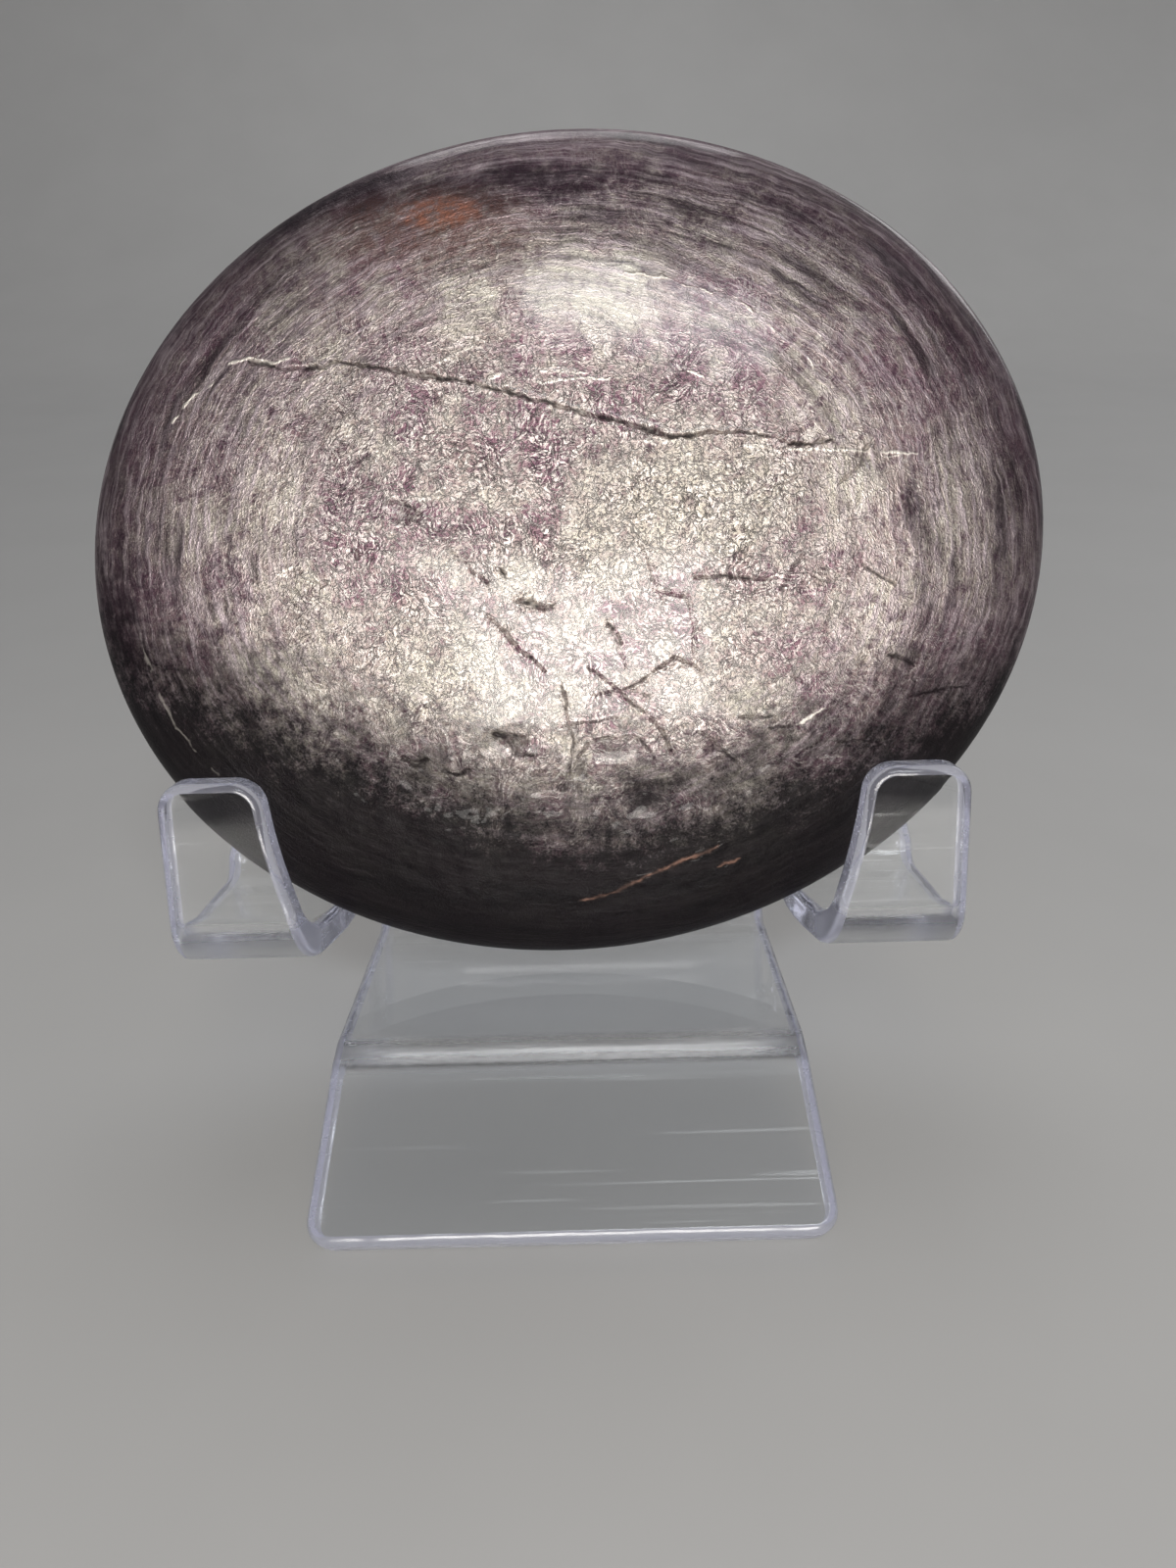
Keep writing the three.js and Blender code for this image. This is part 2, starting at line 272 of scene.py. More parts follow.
leg_end = walk(bm, root_row, math.pi / 2,
               [("run", panel_run), ("fold", top_turn), ("run", leg_run)], panel_across)
print("panel", round(panel_run / MM, 1), "mm, rear leg", round(leg_run / MM, 1), "mm")

# %% [markdown]
# ### The two hooks
#
# Each hook is the outer part of the sheet below the slots' root. It folds forward as a shelf for
# the stone's rim and up again as the lip. The inner edges draw apart on the way to the lips' tops.

# %% Run the hooks
shelf_run = panel_mid - shelf_mid - 2 * BEND
hook_moves = [
    ("run", SLOT_ROOT - shelf_mid - BEND), ("fold", -math.pi / 2), ("run", shelf_run),
    ("fold", -math.pi / 2), ("run", LIP_HEIGHT - shelf_mid - BEND),
]
hook_length = sum(abs(amount) * (BEND if kind == "fold" else 1) for kind, amount in hook_moves)


def hook_across(side):
    def xs(run):
        share = run / hook_length
        flare = float(ease(FLARE_START, 1, share))
        inner = blend_between(SLOT_INNER, LIP_INNER, flare)
        outer = blend_between(PANEL_OUTER, LIP_OUTER, share)
        return sorted((side * inner, side * outer))
    return xs


lip_ends = []
for side, edge in ((-1, root_row[0]), (1, root_row[-1])):
    lip_ends.append(walk(bm, [edge], -math.pi / 2, hook_moves, hook_across(side)))
print("each hook is", round(hook_length / MM, 1), "mm of sheet")

# %% [markdown]
# ### The tongue and the front foot
#
# Between the slots the sheet runs lower, forward under the stone, and folds down at its crest.

# %% Run the tongue
crest_turn = FRONT_SLOPE + LEAN
foot_heading = math.pi + crest_turn
tongue_drop = SLOT_ROOT - tongue_mid - BEND
tongue_run = panel_mid - CREST_Y - BEND - setback(crest_turn)
foot_run = run_to_table(CREST_Y, tongue_mid, foot_heading, FRONT_SLOPE) - setback(crest_turn)
to_crest = tongue_drop + BEND * math.pi / 2 + tongue_run + BEND * crest_turn / 2


def tongue_across(run):
    beyond = foot_run + BEND * crest_turn / 2
    half = blend_between(TONGUE_ROOT_HALF, CREST_HALF, run / to_crest)
    if run > to_crest:
        half = blend_between(CREST_HALF, FOOT_HALF, (run - to_crest) / beyond)
    return [-half, half]


foot_end = walk(bm, [root_row[2]], -math.pi / 2, [
    ("run", tongue_drop), ("fold", -math.pi / 2), ("run", tongue_run),
    ("fold", crest_turn), ("run", foot_run),
], tongue_across)
print("front foot is", round(foot_run / MM, 1), "mm long")

# %% [markdown]
# ### Corners, thickness and polished edges
#
# The free corners are rounded with a bevel of single points. Then a Solidify modifier gives the
# sheet its thickness, half to each side of the middle layer, and a Bevel modifier rounds all the
# cut edges as flame polishing does. Solidify puts its rim in the second material, because a cut
# edge is never as clear as the face of the sheet.

# %% Round the corners and lean the sheet back
def round_corners(bm, edges, radius):
    row = verts_across(edges)
    bmesh.ops.bevel(
        bm, geom=[row[0], row[-1]], offset=radius, offset_type="OFFSET", segments=8,
        profile=0.5, affect="VERTICES", material=-1)


for edges in [foot_end, leg_end]:
    round_corners(bm, edges, FOOT_CORNER)
for edges in lip_ends:
    round_corners(bm, edges, LIP_CORNER)
bmesh.ops.recalc_face_normals(bm, faces=bm.faces)
bmesh.ops.rotate(bm, verts=bm.verts, cent=(0, 0, 0), matrix=Matrix.Rotation(-LEAN, 3, "X"))
bmesh.ops.translate(bm, verts=bm.verts, vec=lip_base)
print("middle layer:", len(bm.verts), "points,", len(bm.faces), "faces")

# %% [markdown]
# ## Building materials from nodes
#
# Every finish is drawn by shader nodes, so it has no picture behind it and never runs out of
# detail. Short helpers keep the node code readable. The first one adds a node, sets its
# properties, and fills or joins its inputs, and the others call it for sums, colours and ramps.

# %% Node helpers
def node(tree, kind, inputs=None, **settings):
    """A new node. settings are its properties, and inputs are socket values or outputs to join."""
    made = tree.nodes.new(kind)
    for key, value in settings.items():
        setattr(made, key, value)
    for key, value in (inputs or {}).items():
        if isinstance(value, bpy.types.NodeSocket):
            tree.links.new(value, made.inputs[key])
        else:
            made.inputs[key].default_value = value
    return made


def maths(tree, operation, *values):
    made = node(tree, "ShaderNodeMath", dict(enumerate(values)), operation=operation)
    return made.outputs["Value"]


def mixed(tree, share, first, second):
    """A colour between first and second."""
    made = node(tree, "ShaderNodeMix", data_type="RGBA", clamp_factor=True)
    for index, value in ((0, share), (6, first), (7, second)):
        if isinstance(value, bpy.types.NodeSocket):
            tree.links.new(value, made.inputs[index])
        else:
            made.inputs[index].default_value = value
    return made.outputs[2]


def ramp(tree, value, *stops):
    """Maps value by straight stretches between stops, each (place, result)."""
    made = node(tree, "ShaderNodeValToRGB", {"Fac": value})
    made.color_ramp.elements.remove(made.color_ramp.elements[0])
    for index, (place, result) in enumerate(stops):
        at = made.color_ramp.elements[0] if index == 0 else made.color_ramp.elements.new(place)
        at.position = place
        at.color = (result, result, result, 1)
    return made.outputs["Color"]


def noise_node(tree, vector, scale, detail=3.0, roughness=0.55, dimensions="3D"):
    return node(tree, "ShaderNodeTexNoise", {
        "Vector": vector, "Scale": scale, "Detail": detail, "Roughness": roughness},
        noise_dimensions=dimensions).outputs["Fac"]


def millimetres(tree, middle=(0, 0, 0), lean=0.0):
    """Object coordinates in millimetres from middle, leaned back with the piece."""
    place = node(tree, "ShaderNodeTexCoord").outputs["Object"]
    return node(tree, "ShaderNodeMapping",
                {"Vector": place, "Location": middle, "Rotation": (-lean, 0, 0),
                 "Scale": (MM, MM, MM)}, vector_type="TEXTURE").outputs[0]


def new_material(name):
    material = bpy.data.materials.new(name)
    material.use_nodes = True
    tree = material.node_tree
    tree.nodes.clear()
    output = node(tree, "ShaderNodeOutputMaterial")
    shader = node(tree, "ShaderNodeBsdfPrincipled")
    tree.links.new(shader.outputs[0], output.inputs["Surface"])
    print("new material:", name)
    return material, tree, shader, output

# %% [markdown]
# An effect that several materials share is a group: a node tree of its own, with named sockets,
# that is built once and placed in each material with that material's own values.

# %% Group helpers
def new_group(name, inputs, outputs):
    """A group with its input and output nodes. A socket called Place takes a place, others a value."""
    group = bpy.data.node_groups.new(name, "ShaderNodeTree")
    for socket in inputs:
        kind = "NodeSocketVector" if socket == "Place" else "NodeSocketFloat"
        group.interface.new_socket(socket, in_out="INPUT", socket_type=kind)
    for socket in outputs:
        group.interface.new_socket(socket, in_out="OUTPUT", socket_type="NodeSocketFloat")
    print("new group:", name, "gives", outputs)
    return group, node(group, "NodeGroupInput"), node(group, "NodeGroupOutput")


def grouped(tree, group, inputs):
    """Places a group in a material, and returns what it puts out."""
    return node(tree, "ShaderNodeGroup", inputs, node_tree=group).outputs

# %% [markdown]
# ### Polish marks, shared by stone and acrylic
#
# Anything that has been buffed carries hair-fine scratches. They run every way, but each one is
# straight, so three noises stretched in different directions give them. A slow noise adds the
# smears of handling. Stone, sheet and cut edge all need both, in different strengths.

# %% The polish marks group
MARK_TURNS = (0.4, 1.5, 2.6)
MARK_STRETCH = (0.05, 2.6, 2.6)
SMEAR_SCALE = 0.11


def polish_marks_group():
    group, start, end = new_group("polish marks", ["Place", "Density"], ["Marks", "Smears"])
    marks = None
    for turn in MARK_TURNS:
        turned = node(group, "ShaderNodeMapping",
                      {"Vector": start.outputs["Place"], "Rotation": (turn, turn / 2, turn),
                       "Scale": MARK_STRETCH})
        streaks = noise_node(group, turned.outputs[0], start.outputs["Density"], 0.6, 0.5)
        fine = ramp(group, streaks, (0.70, 0.0), (0.78, 1.0))
        marks = fine if marks is None else maths(group, "MAXIMUM", marks, fine)
    group.links.new(marks, end.inputs["Marks"])
    smears = noise_node(group, start.outputs["Place"], SMEAR_SCALE, 1.0, 0.5)
    group.links.new(smears, end.inputs["Smears"])
    return group


polish_marks = polish_marks_group()
print("polish marks group has", len(polish_marks.nodes), "nodes")

# %% [markdown]
# ### Haze in the folds
#
# Acrylic that was bent hot loses a little of its shine in the fold. The haze depends only on how
# far a place is from the line of the fold, because every fold runs straight across the easel.
# The tongue's crest and the front of the hooks need it most, since nothing stands before them.

# %% The fold haze group
CREST_HAZE_REACH = 4.2
HOOK_HAZE_REACH = 6.0


def fold_haze_group():
    group, start, end = new_group("fold haze", ["Place", "Fold Y", "Fold Z", "Reach"], ["Haze"])
    parts = node(group, "ShaderNodeSeparateXYZ", {0: start.outputs["Place"]})
    square = 0.0
    for axis in "YZ":
        away = maths(group, "SUBTRACT", parts.outputs[axis], start.outputs["Fold " + axis])
        away = maths(group, "DIVIDE", away, start.outputs["Reach"])
        square = maths(group, "MULTIPLY_ADD", away, away, square)
    group.links.new(ramp(group, square, (0.0, 1.0), (0.35, 0.8), (1.0, 0.0)), end.inputs["Haze"])
    return group


def fold_at(y, z):
    """A fold of the leaning sheet, in millimetres along Y and Z."""
    back = lip_base.y + y * math.cos(LEAN) + z * math.sin(LEAN)
    return back / MM, height_above_table(y, z) / MM


fold_haze = fold_haze_group()
HAZY_FOLDS = [
    (*fold_at(CREST_Y, tongue_mid), CREST_HAZE_REACH),
    (*fold_at(SHEET / 2, shelf_mid), HOOK_HAZE_REACH),
]
print("folds with haze, mm:", [[round(part, 1) for part in fold] for fold in HAZY_FOLDS])

# %% [markdown]
# ### Clear acrylic
#
# Acrylic is clearer than window glass and bends light a little less, with an index of 1.49. A
# Principled shader with full transmission gives that, and the cut edge lets a little less
# through. Lamps would see it as solid, so for shadow rays alone a slightly tinted Transparent
# shader takes its place, as real acrylic lets the light through. Its roughness comes from the
# polish marks, the smears and the haze in the folds, and only the edge has a ripple as well.

# %% The acrylic face and its cut edge
ACRYLIC_IOR = 1.49
SHADOW_TINT = (0.93, 0.94, 0.96, 1)
MARK_ROUGHNESS = 0.16
SMEAR_BRIGHTENING = 1.03
RIPPLE_SCALE = 0.16
RIPPLE_DEPTH = 0.6 * MM


def let_shadow_rays_through(tree, shader, output):
    """Swaps the shader for a tinted clear one wherever a lamp looks through the piece."""
    clear = node(tree, "ShaderNodeBsdfTransparent", {"Color": SHADOW_TINT})
    seen_by = node(tree, "ShaderNodeLightPath")
    either = node(tree, "ShaderNodeMixShader", {
        0: seen_by.outputs["Is Shadow Ray"], 1: shader.outputs[0], 2: clear.outputs[0]})
    tree.links.new(either.outputs[0], output.inputs["Surface"])


def acrylic_material(name, colour, clearness, roughness, haziness, mark_density, ripple):
    material, tree, shader, output = new_material(name)
    place = millimetres(tree)
    marks = grouped(tree, polish_marks, {"Place": place, "Density": mark_density})
    worn = maths(tree, "MULTIPLY", marks["Marks"], MARK_ROUGHNESS)
    smeared = maths(tree, "MULTIPLY_ADD", marks["Smears"], roughness, roughness / 2)
    haze = 0.0
    for y, z, reach in HAZY_FOLDS:
        fold = grouped(tree, fold_haze, {"Place": place, "Fold Y": y, "Fold Z": z, "Reach": reach})
        haze = maths(tree, "MAXIMUM", haze, fold["Haze"])
    rough = maths(tree, "MULTIPLY_ADD", haze, haziness, maths(tree, "ADD", worn, smeared))
    tree.links.new(rough, shader.inputs["Roughness"])
    if ripple:
        waves = noise_node(tree, place, RIPPLE_SCALE, 1.0, 0.5)
        bump = node(tree, "ShaderNodeBump",
                    {"Height": waves, "Strength": ripple, "Distance": RIPPLE_DEPTH})
        tree.links.new(bump.outputs[0], shader.inputs["Normal"])
    brighter = [min(1, part * SMEAR_BRIGHTENING) for part in colour[:3]]
    tree.links.new(mixed(tree, marks["Smears"], colour, (*brighter, 1)), shader.inputs["Base Color"])
    shader.inputs["Transmission Weight"].default_value = clearness
    shader.inputs["IOR"].default_value = ACRYLIC_IOR
    let_shadow_rays_through(tree, shader, output)
    return material


acrylic_face = acrylic_material(
    "clear acrylic face", colour=(0.96, 0.97, 0.985, 1), clearness=1.0,
    roughness=0.012, haziness=0.30, mark_density=0.5, ripple=0.0)
# the cut edge lets less through, and its lavender-grey colour is partly a painted glow, standing in for
# light carried through the sheet to its cut edges
acrylic_edge_and_glow = acrylic_material(
    "polished acrylic edge", colour=(0.68, 0.69, 0.84, 1), clearness=0.86,
    roughness=0.16, haziness=0.16, mark_density=1.1, ripple=0.9)
print("folds that both finishes haze:", len(HAZY_FOLDS))

# %% Give the sheet its thickness and hand it over
stand = finish_piece("bent_acrylic_easel", bm, [acrylic_face, acrylic_edge_and_glow], "acrylic_stand")
thicken = stand.modifiers.new("sheet thickness", "SOLIDIFY")
thicken.thickness = SHEET
thicken.offset = 0
thicken.use_even_offset = True
thicken.use_quality_normals = True
thicken.material_offset_rim = 1
polish = stand.modifiers.new("flame polished edge", "BEVEL")
polish.width = EDGE_ROUND
polish.segments = 3
polish.use_clamp_overlap = False
polish.limit_method = "ANGLE"
polish.angle_limit = math.radians(50)
polish.material = 1
stand.data.polygons.foreach_set("use_smooth", [True] * len(stand.data.polygons))
flatten = stand.modifiers.new("flat faces", "WEIGHTED_NORMAL")
flatten.keep_sharp = True


def measured(piece):
    """The finished mesh of a piece: its low and high corners, and its triangles."""
    bpy.context.view_layer.update()
    final = piece.evaluated_get(bpy.context.evaluated_depsgraph_get())
    mesh = final.to_mesh()
    places = np.array([vert.co for vert in mesh.vertices])
    triangles = sum(len(polygon.vertices) - 2 for polygon in mesh.polygons)
    final.to_mesh_clear()
    return places.min(0), places.max(0), triangles


low, high, triangles = measured(stand)
print("easel, mm:", np.round(low / MM, 2), np.round(high / MM, 2), "with", triangles, "triangles")

# %% [markdown]
# ## The stone
#
# A freeform is ground from a lump of rock and polished into a soft lens, thin at its rim. A
# fine ball whose faces are spread evenly is the best start, so an icosphere is made, its front
# is divided further, and the ball is pressed to the lens by a formula. Places on the stone are
# given in its own frame: x across, z up its height, in millimetres from its middle.

# %% Sizes of the stone
HALF_WIDTH = 62.2
HALF_HEIGHT = 52.9
FRONT_DOME = 12.6
BACK_DOME = 9.0
DOME_POWER = 2.1
SKEW = 0.04
STONE_LEAN = LEAN + math.radians(7)
LEDGE_TOP = -25
LEDGE_DEPTH = 0.7
LEDGE_RISE = 5
LEDGE_HALF_WIDTH = 30
# each a height, and how slowly its waves run across and up
LUMPS = (0.35, 17, 21)
DIMPLES = (0.15, 7.3, 9.1)

FRONT_TO_MIDDLE = 20.48 * MM
FOOT_TO_MIDDLE = 50.02 * MM
stone_middle = Vector((
    (stone_low.x + stone_high.x) / 2, stone_low.y + FRONT_TO_MIDDLE, stone_low.z + FOOT_TO_MIDDLE))
stone_turn = Matrix.Rotation(-STONE_LEAN, 3, "X")
print("stone's middle, mm:", [round(side / MM, 2) for side in stone_middle])


def on_face(ball):
    """Places (x, z) on the lens for points of the unit ball."""
    ring = np.hypot(ball[:, 0], ball[:, 2])
    reach = ring ** (2 / DOME_POWER) / np.maximum(ring, 1e-9)
    z = ball[:, 2] * reach * HALF_HEIGHT
    return ball[:, 0] * reach * HALF_WIDTH + SKEW * z, z

# %% [markdown]
# ### Cracks, chips and veins
#
# Mica splits along its leaves, so a polished piece shows open cracks, bright edges where a thin
# leaf has lifted, and chips that drop out between them. They are what makes this stone this one.
# Each is a short line of places with a half width, and a depth or a strength. Open ones are painted
# dark, as the shade inside them, and cut into the face; bright ones stand a little proud and are
# painted nearly white, partly as a painted glint; and copper ones are veins of iron stain.

# %% Lines on the stone's front
OPEN_CRACKS = [
    (0.30, 0.55, [(-38.6, 24.3), (-36.6, 24.0), (-35.2, 23.4)]),
    (0.26, 0.50, [(-35.2, 23.4), (-34, 22.9), (-31, 23.1), (-29.2, 23.1), (-28, 23.7), (-25, 23.1)]),
    (0.30, 0.60, [(-25, 23.1), (-20, 22.1), (-15, 21.1), (-12, 20.6)]),
    (0.26, 0.50, [(-12, 20.6), (-8, 19.7), (-4, 18.3), (3, 16.3), (7, 15.3)]),
    (0.36, 0.70, [(7, 15.3), (10, 14.4), (13, 13.3), (14.5, 13.4), (17.6, 13.9)]),
    (0.20, 0.40, [(17.6, 13.9), (23, 13.7), (27, 12.5)]),
    (0.30, 0.60, [(27, 12.4), (30, 12.2), (32.5, 12.9)]),
    (0.20, 0.35, [(37.5, 12.6), (36.5, 11.6), (36.2, 10.0), (34.8, 8.8), (33.2, 7.4)]),
    (0.22, 0.45, [(-9.9, -7.4), (-6.2, -11.4), (-3.2, -14.2)]),
    (0.16, 0.30, [(-1.2, -15.8), (-0.7, -18), (-0.5, -21), (0.1, -23), (-0.2, -25.6), (-0.4, -27.6)]),
    (0.16, 0.30, [(-1, -20.9), (2, -20.6), (6, -20.3)]),
    (0.20, 0.40, [(6, -17), (8.5, -15.8), (10.5, -14.4), (12.6, -13), (14.5, -13.6), (16.2, -14.8)]),
    (0.16, 0.25, [(2.5, -17.4), (6, -17), (8.2, -17.1), (9.8, -17.7)]),
    (0.18, 0.35, [(2, -14), (4.5, -15.8), (6.5, -17.6), (9.6, -20.4)]),
    (0.28, 0.50, [(9.6, -20.4), (11.3, -22.2), (12.2, -24.6)]),
    (0.13, 0.20, [(4.6, -8.8), (5.8, -11), (6.8, -14.2)]),
    (0.13, 0.18, [(8.7, 1), (10, -2.4), (11.6, -6.6)]),
    (0.13, 0.18, [(14.5, -5.8), (15.1, -9), (15.2, -12.6)]),
    (0.22, 0.40, [(15.4, -3.4), (18, -3.3), (22, -3.6), (24.8, -3.8)]),
    (0.20, 0.40, [(36.3, -2.3), (38.5, -3.6), (40.6, -4.9)]),
    (0.20, 0.35, [(10.2, -4.9), (12.5, -5.2), (14.6, -5.7)]),
    (0.16, 0.30, [(29.6, -3.4), (31, -4.1), (32.6, -4.3)]),
    (0.20, 0.35, [(27.0, -15.5), (28.5, -16.2), (29.8, -17)]),
    (0.20, 0.35, [(20.8, -20.6), (25.5, -20.7)]),
    (0.18, 0.30, [(24.5, -22.0), (27.6, -22.2)]),
    (0.22, 0.40, [(42.7, -18.9), (46, -18.3), (48.5, -17.9), (53.5, -17.5)]),
    (0.28, 0.45, [(39.8, -13.5), (42, -13.9), (43.3, -14.9)]),
    (0.16, 0.30, [(33, -24.1), (37, -24.3), (39.6, -24.6)]),
    (0.20, 0.35, [(15.4, -22.4), (17.3, -23.2), (18.1, -24.4), (20.2, -26), (21.2, -27.2)]),
    (0.22, 0.35, [(0.4, -25.2), (2.2, -23.4), (5.2, -22.8), (7.5, -22.6), (9, -23.8), (10.4, -25.8)]),
    (0.16, 0.25, [(-16.4, 3), (-13, -0.6), (-9.8, -3.6)]),
    (0.30, 0.25, [(29.2, 0.1), (28.6, -1.3), (27.8, -2.4), (27, -3.6), (26, -5)]),
    (0.34, 0.45, [(-6.2, -5.6), (-4.6, -6.0), (-3.1, -6.4), (-1.8, -6.2)]),
    (0.34, 0.45, [(-21.8, 6.5), (-20.4, 6.3), (-19.2, 6.0), (-17.8, 5.0)]),
    (1.15, 0.20, [(-21.2, 5.8), (-20.2, 5.2), (-19.2, 4.9)]),
    (0.60, 0.60, [(-9.8, -22.0), (-8.6, -22.4), (-7.0, -22.3), (-5.9, -23.0)]),
    (0.40, 0.50, [(-7.9, -22.7), (-7.0, -24.3), (-5.2, -24.8)]),
    (0.45, 0.50, [(-21.4, -24.9), (-19.8, -25.4), (-18.4, -25.0)]),
    (0.45, 0.50, [(-16.6, -26.6), (-14.6, -27.1), (-13.0, -26.5)]),
    (0.50, 0.50, [(-1.9, -29.1), (-1.3, -29.3)]),
    (0.30, 0.50, [(-25.6, 1.2), (-25.6, 0.0)]),
    (0.34, 0.50, [(-8.2, -1.7), (-7.7, -2.8)]),
    (0.34, 0.40, [(4.6, -8.7), (5.3, -9.4)]),
    (0.28, 0.40, [(5.8, -10.0), (6.2, -11.2)]),
    (0.34, 0.40, [(43.0, -16.3), (43.5, -16.9)]),
]
BRIGHT_EDGES = [
    (0.17, 1.0, [(-48.8, 17.6), (-47.4, 19.1), (-46, 20.4), (-43.5, 21.7), (-42, 23.1)]),
    (0.17, 1.0, [(-42.4, 22.8), (-41, 24.2), (-38.6, 24.6), (-36.2, 24.2)]),
    (0.16, 0.8, [(-37.5, 24.2), (-35.4, 23.9), (-33.2, 24.3)]),
    (0.26, 1.0, [(7.6, 13.5), (10, 13.0), (13, 12.9)]),
    (0.15, 0.8, [(21.5, 12.0), (26, 11.8), (34.8, 11.4), (43.5, 11.2)]),
    (0.13, 0.6, [(7.5, 33.0), (12, 32.3), (16, 31), (20, 29.8), (22.6, 28.6)]),
    (0.13, 0.6, [(21.6, 29.2), (26.4, 25.1), (29, 23.6), (30.2, 21.2)]),
    (0.17, 0.8, [(-9, 20.9), (-5.5, 21.8), (0, 21.5), (3, 21.1)]),
    (0.15, 0.8, [(-7.5, 19.8), (-3, 20.3), (2, 20.6), (5.5, 20.3)]),
    (0.14, 0.7, [(12.9, 21.8), (16, 20.6), (18.8, 19.0)]),
    (0.15, 0.6, [(-20.5, 27.0), (-17.5, 28.8), (-15.4, 30.2)]),
    (0.14, 0.6, [(-15.6, 22.6), (-12.4, 24.0), (-9.6, 25.0)]),
    # painted highlight: these three faint lines down the left rim paint the light along its crest
    (0.30, 0.19, [(-55.9, 0.5), (-55.5, -6), (-54.3, -12.5)]),
    (0.38, 0.21, [(-54.6, -11), (-53.2, -16), (-51.2, -20.4), (-48.6, -24)]),
    (0.28, 0.19, [(-49.2, -23.2), (-45.2, -28), (-42.4, -32)]),
    (0.15, 0.7, [(36.5, 9.0), (38.4, 10.6), (41.2, 10.9)]),
    (0.17, 0.6, [(-32.4, -0.6), (-35.8, -1.6), (-31.6, -3.0)]),
    (0.16, 0.7, [(28.2, -21.8), (30.4, -20.6), (33, -19.0)]),
]
COPPER_VEINS = [
    (0.19, 1.0, [(0.4, -44.7), (5.2, -43.5), (9, -41.4), (12.8, -39.8), (16.5, -38.5), (18.5, -37.5)]),
    (0.15, 0.8, [(18.4, -40.6), (20, -39.9), (21.4, -39.3)]),
]

# %% [markdown]
# Pits and chips are soft round dips instead, each with its middle, its half sizes across and up,
# and its depth. Most of them lie along the broken ledge of the lower front. The stone's colour is
# patchy as well, so plum and silver patches are listed in the same way, each with its strength,
# and so are the calm patches, where the leaves lie so flat that grain and threads hardly show.
# Not all of these patches are colour: the plum ones along the top edge and at the far left rim are
# painted shade, and the silver ones high up and round the middle are partly a painted highlight
# where the lamps' sheen lies.

# %% Dips and patches of the stone's front
DIPS = [
    (-19.6, 4.9, 1.5, 1.0, 0.45), (-7.6, -22.9, 2.2, 1.1, 0.5), (-19.4, -25.4, 1.8, 0.8, 0.5),
    (-21.4, -27.6, 1.2, 0.9, 0.5), (4.8, -24.6, 2.8, 1.2, 0.5), (9.4, -30.8, 5.0, 2.6, 0.5),
    (1.2, -26.6, 1.0, 1.7, 0.5), (18.0, -24.4, 1.6, 0.8, 0.4), (24.2, -26.8, 1.6, 0.9, 0.45),
    (-12.0, -31.0, 3.4, 1.3, 0.45), (-28.5, -24.5, 2.4, 1.2, 0.4), (31.0, -25.8, 2.4, 1.0, 0.4),
    (36.4, 10.6, 1.1, 1.4, 0.4), (-4.0, -6.1, 2.0, 0.6, 0.15), (-36.0, -12.0, 1.6, 2.6, 0.3),
]
# plum patches; those along the top edge (z 41 to 45) and at the far left rim are painted shade, where the
# dome turns away from the lamps
PLUM_AND_SHADE_PATCHES = [
    (-24, 9, 9, 8, 0.45), (-20, 5, 4, 3, 0.4), (-38, 20, 8, 6, 0.35), (-42, -3, 3, 10, 0.6),
    (-37, 8, 8, 13, 0.3),
    (-59, -7, 6, 13, 1.0), (1, 12, 9, 3, 0.45), (-10, 3, 8, 4, 0.25), (43.5, 6, 1.9, 6, 0.8),
    (29, 18, 9, 5, 0.3), (9, -30.5, 6, 4, 1.0), (-27, 45, 16, 4, 1.0), (-2, 44, 20, 3.4, 0.9),
    (22, 41, 14, 3, 0.7), (29, -24, 7, 3, 0.5), (-36, -20, 6, 4, 0.6), (-28, -27, 9, 4, 0.6),
    (-48, 31, 8, 3, 0.5), (54, 26, 3, 9, 0.5), (-20, -18, 4, 2, 0.3), (40, -8, 3, 4, 0.35),
]
# silver patches; the one high up at (5, 31) and those round (0, -15) are partly a painted highlight where
# the lamps' sheen lies
SILVER_AND_SHEEN_PATCHES = [
    (12, 5, 8, 6, 0.7), (5, 31, 15, 5.5, 0.8), (-13, -14, 14, 6, 0.9), (2, -17, 12, 6, 0.7),
    (16, -13, 12, 6, 0.8), (-31, -4, 6, 2.6, 0.8), (-16, -27.5, 5, 1.8, 0.8), (36, -1, 5, 7, 0.5),
    (24, -19, 8, 3, 0.6), (47, 8, 2.5, 10, 0.5), (-5, -27, 5, 3, 0.5), (0, -3, 12, 4, 0.5),
    (-2, -33, 5, 3, 0.35),
]
CALM_PATCHES = [
    (6, 31, 21, 7, 1.0), (30, 22, 12, 9, 0.9), (-24, 32, 15, 7, 0.8), (40, 6, 8, 14, 0.6),
    (-40, 4, 8, 14, 0.5),
]

all_lines = OPEN_CRACKS + BRIGHT_EDGES + COPPER_VEINS
patch_count = len(PLUM_AND_SHADE_PATCHES) + len(SILVER_AND_SHEEN_PATCHES) + len(CALM_PATCHES)
print(len(all_lines), "lines,", len(DIPS), "dips and", patch_count, "patches on the front")

# %% [markdown]
# ### A ball with its faces where they are needed
#
# The icosphere's front is divided twice, and the strips along the cracks twice more, so that a
# crack a quarter of a millimetre wide still has points in it. Every new point is pushed back out
# onto the unit ball before the ball is pressed to the lens.

# %% Make the ball
FRONT_RINGS = (0.97, 0.88)
STRIP_REACHES = (0.75, 0.45)


